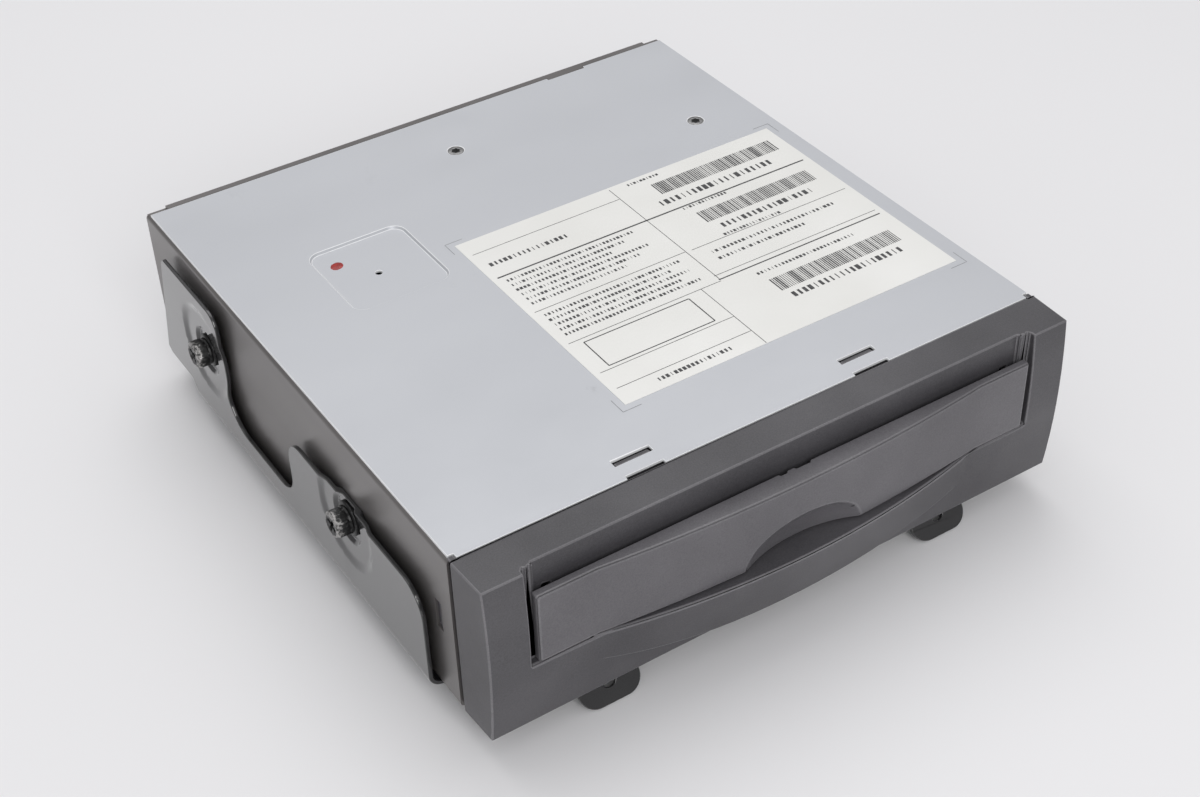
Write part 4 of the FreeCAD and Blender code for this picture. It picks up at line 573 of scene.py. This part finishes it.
# The cradle's screws: hexagon heads with a flange and a cross recess, cold-headed and black passivated.
# Turning them has worn the passivation off their corners. Each sits in a dish of the cradle on a washer.
rim_wear = 0.26
black_passivate, worn_tree, worn_shader = new_finish("black_passivate", (0.012, 0.012, 0.012), roughness=0.3,
                                                     metallic=0.6)
rubs = cloud(worn_tree, place_on_object(worn_tree), scale=1100.0, detail=4.0, roughness=0.7)
rims = add_node(worn_tree, "ShaderNodeAttribute", attribute_name="rim")
worn_where = sum_of(worn_tree, "ADD", rubs, sum_of(worn_tree, "MULTIPLY", rims.outputs["Fac"], rim_wear))
worn_tree.links.new(tones(worn_tree, worn_where, [(0.50, (0.010, 0.010, 0.010)), (0.68, (0.05, 0.05, 0.05)),
                                                  (0.80, (0.42, 0.41, 0.40))]), worn_shader.inputs["Base Color"])
worn_tree.links.new(span_of(worn_tree, worn_where, low=0.26, high=0.42), worn_shader.inputs["Roughness"])
washer_plate = 0.001
seat = washer_high[0]
head_height = head_top - seat
flats = 0.0070
flange_radius = flats / 2.0 * 1.12
shank_radius = 0.00195
shank_length = 0.0072
point_length = 0.0004
under_head = 0.0001
thread_pitch = 0.00035
thread_depth = 0.00028
turns = 72
washer_points = 64
crease = math.radians(35.0)


def hexagon_ring(work, across_flats, height, count, blend):
    """Points round a hexagon, blended towards a circle a little wider than its flats."""
    circle = across_flats / 2.0 * 1.02
    points = []
    for k in range(count):
        a = 2.0 * math.pi * k / count
        sector = (a % (math.pi / 3.0)) - math.pi / 6.0
        r = across_flats / 2.0 / math.cos(sector) * (1.0 - blend) + circle * blend
        points.append(work.verts.new((r * math.cos(a), r * math.sin(a), height)))
    return points


def cross_ring(work, reach, width, height, count):
    """Points round a cross with square-ended arms."""
    points = []
    for k in range(count):
        a = 2.0 * math.pi * k / count
        c, s = abs(math.cos(a)), abs(math.sin(a))
        along_arm = max(c, s)
        across_arm = min(c, s)
        r = min(reach / along_arm, width / 2.0 / max(across_arm, 1e-6))
        r = max(r, width / 2.0 / along_arm)
        points.append(work.verts.new((r * math.cos(a), r * math.sin(a), height)))
    return points


# Rings of the head, from the washer outwards. The flange and the crown are given by radius and height, the
# hexagon by its flats, height and share of a circle, and the recess by its reach, width and depth.
flange_rings = [(flange_radius - 0.0001, 0.0), (flange_radius, 0.0002), (flange_radius - 0.0001, 0.0007)]
hexagon_rings = [(flats, 0.00085, 0.15), (flats, 0.0012, 0.0), (flats, head_height - 0.0008, 0.0),
                 (flats * 0.985, head_height - 0.0005, 0.35)]
crown_rings = [(flats / 2.0 * 0.94, head_height - 0.00015), (flats / 2.0 * 0.86, head_height),
               (0.00235, head_height - 0.0001)]
recess_rings = [(0.0021, 0.00115, 0.00025), (0.0019, 0.0010, 0.0010), (0.0010, 0.0007, 0.0018)]

screw = bmesh.new()
rim = screw.verts.layers.float.new("rim")
loops = [ring_of(screw, shank_radius * 0.6, -shank_length, turns)]
levels = int(shank_length / thread_pitch) * 2
thread_length = shank_length - point_length - under_head
for k in range(levels + 1):
    loops.append(ring_of(screw, shank_radius - thread_depth * (k % 2),
                         -shank_length + point_length + thread_length * k / levels, turns))
loops += [ring_of(screw, radius, height, turns) for radius, height in flange_rings]
loops += [hexagon_ring(screw, across, height, turns, blend) for across, height, blend in hexagon_rings]
loops += [ring_of(screw, radius, height, turns) for radius, height in crown_rings]
loops += [cross_ring(screw, reach, width, head_height - depth, turns) for reach, width, depth in recess_rings]
skin(screw, loops)
screw.faces.new(list(reversed(loops[0])))
worn_loops = loops[-8:-4]
for loop in worn_loops:
    for vertex in loop:
        vertex[rim] = 1.0
bmesh.ops.recalc_face_normals(screw, faces=screw.faces)
for edge in screw.edges:
    edge.smooth = edge.calc_face_angle(0.0) < crease

washer = bmesh.new()
hole_radius = shank_radius + 0.0002
loops = [ring_of(washer, radius, height, washer_points)
         for radius, height in ((hole_radius, 0.0), (washer_radius - 0.0001, 0.0), (washer_radius, 0.00015),
                                (washer_radius, washer_plate - 0.0003), (washer_radius - 0.0003, washer_plate),
                                (hole_radius, washer_plate))]
skin(washer, loops + loops[:1], closed_end=False)
bmesh.ops.recalc_face_normals(washer, faces=washer.faces)
for work in (screw, washer):
    bmesh.ops.rotate(work, verts=work.verts, matrix=Matrix.Rotation(math.radians(90.0), 3, "Y"))
screw_mesh = finished(screw, "one_screw")
washer_mesh = finished(washer, "one_washer")

set_tree, given = new_tree("screw_set", (
    ("Front", "NodeSocketFloat", 0.0), ("Spacing", "NodeSocketFloat", 0.085), ("Half width", "NodeSocketFloat", 0.09),
    ("Height", "NodeSocketFloat", 0.03), ("Tightening", "NodeSocketFloat", 6.0), ("Seed", "NodeSocketInt", 4),
    ("Part", "NodeSocketObject", None), ("Finish", "NodeSocketMaterial", None)))
part = add_node(set_tree, "GeometryNodeObjectInfo", [("Object", given["Part"])])
sides = []
for facing, half_turn in ((1.0, 0.0), (-1.0, math.pi)):
    place = add_node(set_tree, "ShaderNodeCombineXYZ",
                     [("X", sum_of(set_tree, "MULTIPLY", given["Half width"], facing)), ("Y", given["Front"]),
                      ("Z", given["Height"])])
    pace = add_node(set_tree, "ShaderNodeCombineXYZ", [("Y", given["Spacing"])])
    line = add_node(set_tree, "GeometryNodeMeshLine", [("Count", 2), ("Start Location", place.outputs[0]),
                                                      ("Offset", pace.outputs[0])], mode="OFFSET")
    twist = add_node(set_tree, "FunctionNodeRandomValue", [("Max", given["Tightening"]), ("Seed", given["Seed"])],
                     data_type="FLOAT")
    spin = add_node(set_tree, "ShaderNodeCombineXYZ", [("X", twist.outputs["Value"]), ("Z", half_turn)])
    sides.append(add_node(set_tree, "GeometryNodeInstanceOnPoints",
                          [("Points", line.outputs["Mesh"]), ("Instance", part.outputs["Geometry"]),
                           ("Rotation", spin.outputs[0])]).outputs[0])
joined = add_node(set_tree, "GeometryNodeJoinGeometry", [("Geometry", side) for side in sides])
close_tree(set_tree, joined.outputs[0], given["Finish"])

for name, pattern, node, distance in (("flanged_screws", screw_mesh, "cradle_screws", seat),
                                      ("flat_washers", washer_mesh, "cradle_washers", seat - washer_plate)):
    sample = bpy.data.objects.new("sample", pattern)
    bpy.context.scene.collection.objects.link(sample)
    mesh = grow(name, set_tree, {"Front": axis_y[0], "Spacing": axis_y[1] - axis_y[0], "Half width": distance,
                                 "Height": axis_z, "Part": sample, "Finish": black_passivate})
    bpy.data.objects.remove(sample)
    bpy.data.meshes.remove(pattern)
    fastened = add_piece(name, mesh)
    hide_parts(node)
dress("cradle_nuts", turned_steel)

# The main board: green fibreglass with its chips, cans, regulator and sockets, on moulded supports.
drawn_aluminium = mottled("drawn_aluminium", (0.6, 0.6, 0.62), (0.72, 0.72, 0.73), 0.3, 1.0, patch=300.0)
tinned_sheet = mottled("tinned_sheet", (0.6, 0.6, 0.59), (0.7, 0.7, 0.69), 0.35, 1.0, patch=260.0)
black_anodised = mottled("black_anodised", (0.02, 0.02, 0.022), (0.035, 0.035, 0.037), 0.45, 0.4, patch=300.0)
for node, finish in (("main_board", board_resist), ("board_supports", acetal), ("board_chips", black_moulding),
                     ("board_capacitors", drawn_aluminium), ("receiver_can", tinned_sheet),
                     ("heat_sink", black_anodised)):
    dress(node, finish)

# The rear sockets: a keyed black header for supply and network, an optical socket and a blue aerial socket.
grey_moulding = mottled("grey_moulding", (0.05, 0.05, 0.055), (0.07, 0.07, 0.075), 0.5, patch=120.0, grain=0.00003)
blue_moulding = mottled("blue_moulding", (0.02, 0.05, 0.22), (0.03, 0.07, 0.28), 0.45, patch=200.0)
tin_plate = mottled("tin_plate", (0.62, 0.61, 0.58), (0.72, 0.71, 0.68), 0.28, 1.0, patch=800.0)
for node, finish in (("main_connector", black_moulding), ("connector_pins", tin_plate),
                     ("fibre_socket", grey_moulding), ("aerial_socket", blue_moulding)):
    dress(node, finish)

# The disc drive's frame: pressed zinc-coated steel, floated on grooved rubber bushes over four posts.
frame_zinc = mottled("frame_zinc", (0.5, 0.5, 0.51), (0.6, 0.6, 0.61), 0.38, 0.9, patch=40.0,
                     stretch=(1.0, 0.2, 1.0))
soft_rubber = mottled("soft_rubber", (0.015, 0.015, 0.015), (0.03, 0.03, 0.03), 0.8, patch=600.0, grain=0.00004)
flat_cable = mottled("flat_cable", (0.55, 0.5, 0.38), (0.62, 0.57, 0.45), 0.4, patch=500.0,
                     stretch=(1.0, 0.05, 0.05))
for node, finish in (("drive_frame", frame_zinc), ("drive_posts", turned_steel), ("drive_dampers", soft_rubber),
                     ("drive_nuts", turned_steel), ("drive_ribbon", flat_cable)):
    dress(node, finish)

# The spindle, turntable and clamp: a flat motor turns the disc, held down by a puck in a sprung arm.
nickel_can = mottled("nickel_can", (0.5, 0.49, 0.47), (0.6, 0.59, 0.57), 0.25, 1.0, patch=200.0)
ground_steel = mottled("ground_steel", (0.6, 0.6, 0.6), (0.7, 0.7, 0.7), 0.18, 1.0, patch=900.0)
for node, finish in (("spindle_motor", nickel_can), ("spindle_shaft", ground_steel), ("turntable", black_moulding),
                     ("clamp_arm", frame_zinc), ("clamp_pivots", ground_steel), ("clamp_puck", acetal)):
    dress(node, finish)

# The optical carriage: a die-cast sled on two ground rods, with its lens in a moving mount.
cast_zinc = mottled("cast_zinc", (0.38, 0.38, 0.39), (0.46, 0.46, 0.47), 0.45, 0.9, patch=300.0, grain=0.00005)
lens_mount = mottled("lens_mount", (0.04, 0.04, 0.05), (0.06, 0.06, 0.07), 0.3, patch=300.0)
for node, finish in (("guide_rods", ground_steel), ("sled", cast_zinc), ("lens_holder", lens_mount),
                     ("sled_motor", nickel_can)):
    dress(node, finish)

# The feed screw: a ground steel rod with one rolled thread of 3 mm lead, which carries the sled's foot.
feed_low, feed_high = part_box("lead_screw")
feed_radius = (feed_high[0] - feed_low[0]) / 2
feed_x = (feed_low[0] + feed_high[0]) / 2
feed_z = (feed_low[2] + feed_high[2]) / 2
feed_lead = 0.003
ridge_radius = 0.00028
neck_radius = 0.0008
neck_overlap = 0.0002
neck_points = 24
tip_length = 0.0002
tip_radius = neck_radius * 0.8
thread_front = feed_low[1] + 0.0066
thread_rear = feed_high[1] - 0.0023

thread_tree, given = new_tree("feed_thread", (
    ("Length", "NodeSocketFloat", 0.05), ("Lead", "NodeSocketFloat", 0.003), ("Radius", "NodeSocketFloat", 0.0012),
    ("Ridge", "NodeSocketFloat", 0.0003), ("Place", "NodeSocketVector", (0.0, 0.0, 0.0)),
    ("Finish", "NodeSocketMaterial", None)))
helix = add_node(thread_tree, "GeometryNodeCurveSpiral",
                 [("Rotations", sum_of(thread_tree, "DIVIDE", given["Length"], given["Lead"])),
                  ("Start Radius", given["Radius"]), ("End Radius", given["Radius"]), ("Height", given["Length"]),
                  ("Resolution", 24)])
ridge = add_node(thread_tree, "GeometryNodeCurvePrimitiveCircle", [("Radius", given["Ridge"]), ("Resolution", 6)])
rolled = add_node(thread_tree, "GeometryNodeCurveToMesh", [("Curve", helix.outputs[0]), ("Fill Caps", True),
                                                          ("Profile Curve", ridge.outputs["Curve"])])
core = add_node(thread_tree, "GeometryNodeMeshCylinder", [("Radius", given["Radius"]), ("Depth", given["Length"]),
                                                         ("Vertices", 32)])
half_up = add_node(thread_tree, "ShaderNodeCombineXYZ",
                   [("Z", sum_of(thread_tree, "DIVIDE", given["Length"], 2.0))])
raised = add_node(thread_tree, "GeometryNodeTransform", [("Geometry", core.outputs["Mesh"]),
                                                        ("Translation", half_up.outputs[0])])
joined = add_node(thread_tree, "GeometryNodeJoinGeometry", [("Geometry", rolled.outputs[0]),
                                                           ("Geometry", raised.outputs[0])])
laid = add_node(thread_tree, "GeometryNodeTransform", [("Geometry", joined.outputs[0]),
                                                      ("Translation", given["Place"]),
                                                      ("Rotation", Euler((-math.pi / 2.0, 0.0, 0.0)))])
close_tree(thread_tree, laid.outputs[0], given["Finish"])
feed_mesh = grow("feed_thread", thread_tree,
                 {"Length": thread_rear - thread_front, "Lead": feed_lead, "Radius": feed_radius - ridge_radius,
                  "Ridge": ridge_radius, "Place": (feed_x, thread_front, feed_z), "Finish": ground_steel})
ends = bmesh.new()
ends.from_mesh(feed_mesh)
for start, end in ((feed_low[1], thread_front + neck_overlap), (thread_rear - neck_overlap, feed_high[1])):
    loops = []
    for y, r in ((start, tip_radius), (start + tip_length, neck_radius), (end - tip_length, neck_radius),
                 (end, tip_radius)):
        angles = [2.0 * math.pi * k / neck_points for k in range(neck_points)]
        loops.append([ends.verts.new((feed_x + r * math.cos(a), y, feed_z + r * math.sin(a))) for a in angles])
    skin(ends, loops)
    ends.faces.new(list(reversed(loops[0])))
bmesh.ops.recalc_face_normals(ends, faces=ends.faces)
ends.to_mesh(feed_mesh)
ends.free()
feed_screw = add_piece("feed_screw", feed_mesh, "feed_screw")
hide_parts("lead_screw")

# Loading roller, gears and motor: moulded rubber on a ground shaft, driven through acetal gears.
turned_brass = mottled("turned_brass", (0.62, 0.45, 0.2), (0.72, 0.55, 0.28), 0.3, 1.0, patch=400.0)
for node, finish in (("disc_guide", black_moulding), ("load_roller", soft_rubber), ("roller_shaft", ground_steel),
                     ("roller_gear", acetal), ("step_gear", acetal), ("gear_axle", ground_steel),
                     ("motor_pinion", turned_brass), ("load_motor", nickel_can)):
    dress(node, finish)

# The table it stands on: a pale matt sheet of card, and the studio's even light round it.
floor_reach = 3.0
floor_mesh = bpy.data.meshes.new("table_card")
floor_mesh.from_pydata([(-floor_reach, -floor_reach, 0), (floor_reach, -floor_reach, 0),
                        (floor_reach, floor_reach, 0), (-floor_reach, floor_reach, 0)], [], [(0, 1, 2, 3)])
floor = bpy.data.objects.new("table_card", floor_mesh)
bpy.context.scene.collection.objects.link(floor)
card, card_tree, card_shader = new_finish("white_card", (0.82, 0.815, 0.825), roughness=0.7)
card_tree.links.new(tones(card_tree, cloud(card_tree, place_on_object(card_tree), scale=3.0),
                          [(0.3, (0.81, 0.805, 0.815)), (0.7, (0.83, 0.825, 0.835))]),
                    card_shader.inputs["Base Color"])
floor_mesh.materials.append(card)

# The room is darker low down than overhead. The camera itself sees an even grey beyond the table.
studio = bpy.data.worlds.new("studio")
bpy.context.scene.world = studio
studio.use_nodes = True
room = studio.node_tree
sky = room.nodes["Background"]
outward = add_node(room, "ShaderNodeTexCoord")
upward = add_node(room, "ShaderNodeSeparateXYZ", [("Vector", outward.outputs["Generated"])])
lit_room = tones(room, upward.outputs["Z"], [(0.0, (0.24, 0.24, 0.245)), (0.9, (0.66, 0.66, 0.67))])
looker = add_node(room, "ShaderNodeLightPath")
backdrop = add_node(room, "ShaderNodeMix", [("Factor", looker.outputs["Is Camera Ray"]), ("A", lit_room),
                                            ("B", (0.37, 0.37, 0.375, 1.0))], data_type="RGBA")
room.links.new(backdrop.outputs["Result"], sky.inputs["Color"])
sky.inputs["Strength"].default_value = 1.0


def softbox(name, place, width, height, watts):
    """A rectangular lamp that shines on the middle of the object."""
    aim = Vector((0.0, 0.0, 0.02))
    light = bpy.data.lights.new(name, "AREA")
    light.shape = "RECTANGLE"
    light.size = width
    light.size_y = height
    light.energy = watts
    lamp = bpy.data.objects.new(name, light)
    lamp.location = place
    lamp.rotation_euler = (aim - Vector(place)).to_track_quat("-Z", "Y").to_euler()
    bpy.context.scene.collection.objects.link(lamp)


softbox("overhead_softbox", (0.20, 0.65, 1.5), width=1.5, height=1.5, watts=9.0)
softbox("front_softbox", (-0.45, -1.30, 1.0), width=1.0, height=0.8, watts=11.0)

# The camera, at the photograph's place and angle.
photo_width = 1200
focal_pixels = 1906.6
camera = bpy.data.cameras.new("camera")
camera.sensor_width = 36.0
camera.lens = camera.sensor_width * focal_pixels / photo_width
camera_object = bpy.data.objects.new("camera", camera)
camera_object.location = (-0.22472, -0.36429, 0.3564)
camera_object.rotation_euler = Euler([math.radians(a) for a in (51.0737, 1.4797, -33.2228)])
bpy.context.scene.collection.objects.link(camera_object)
bpy.context.scene.camera = camera_object

bpy.context.scene.view_settings.view_transform = "Standard"
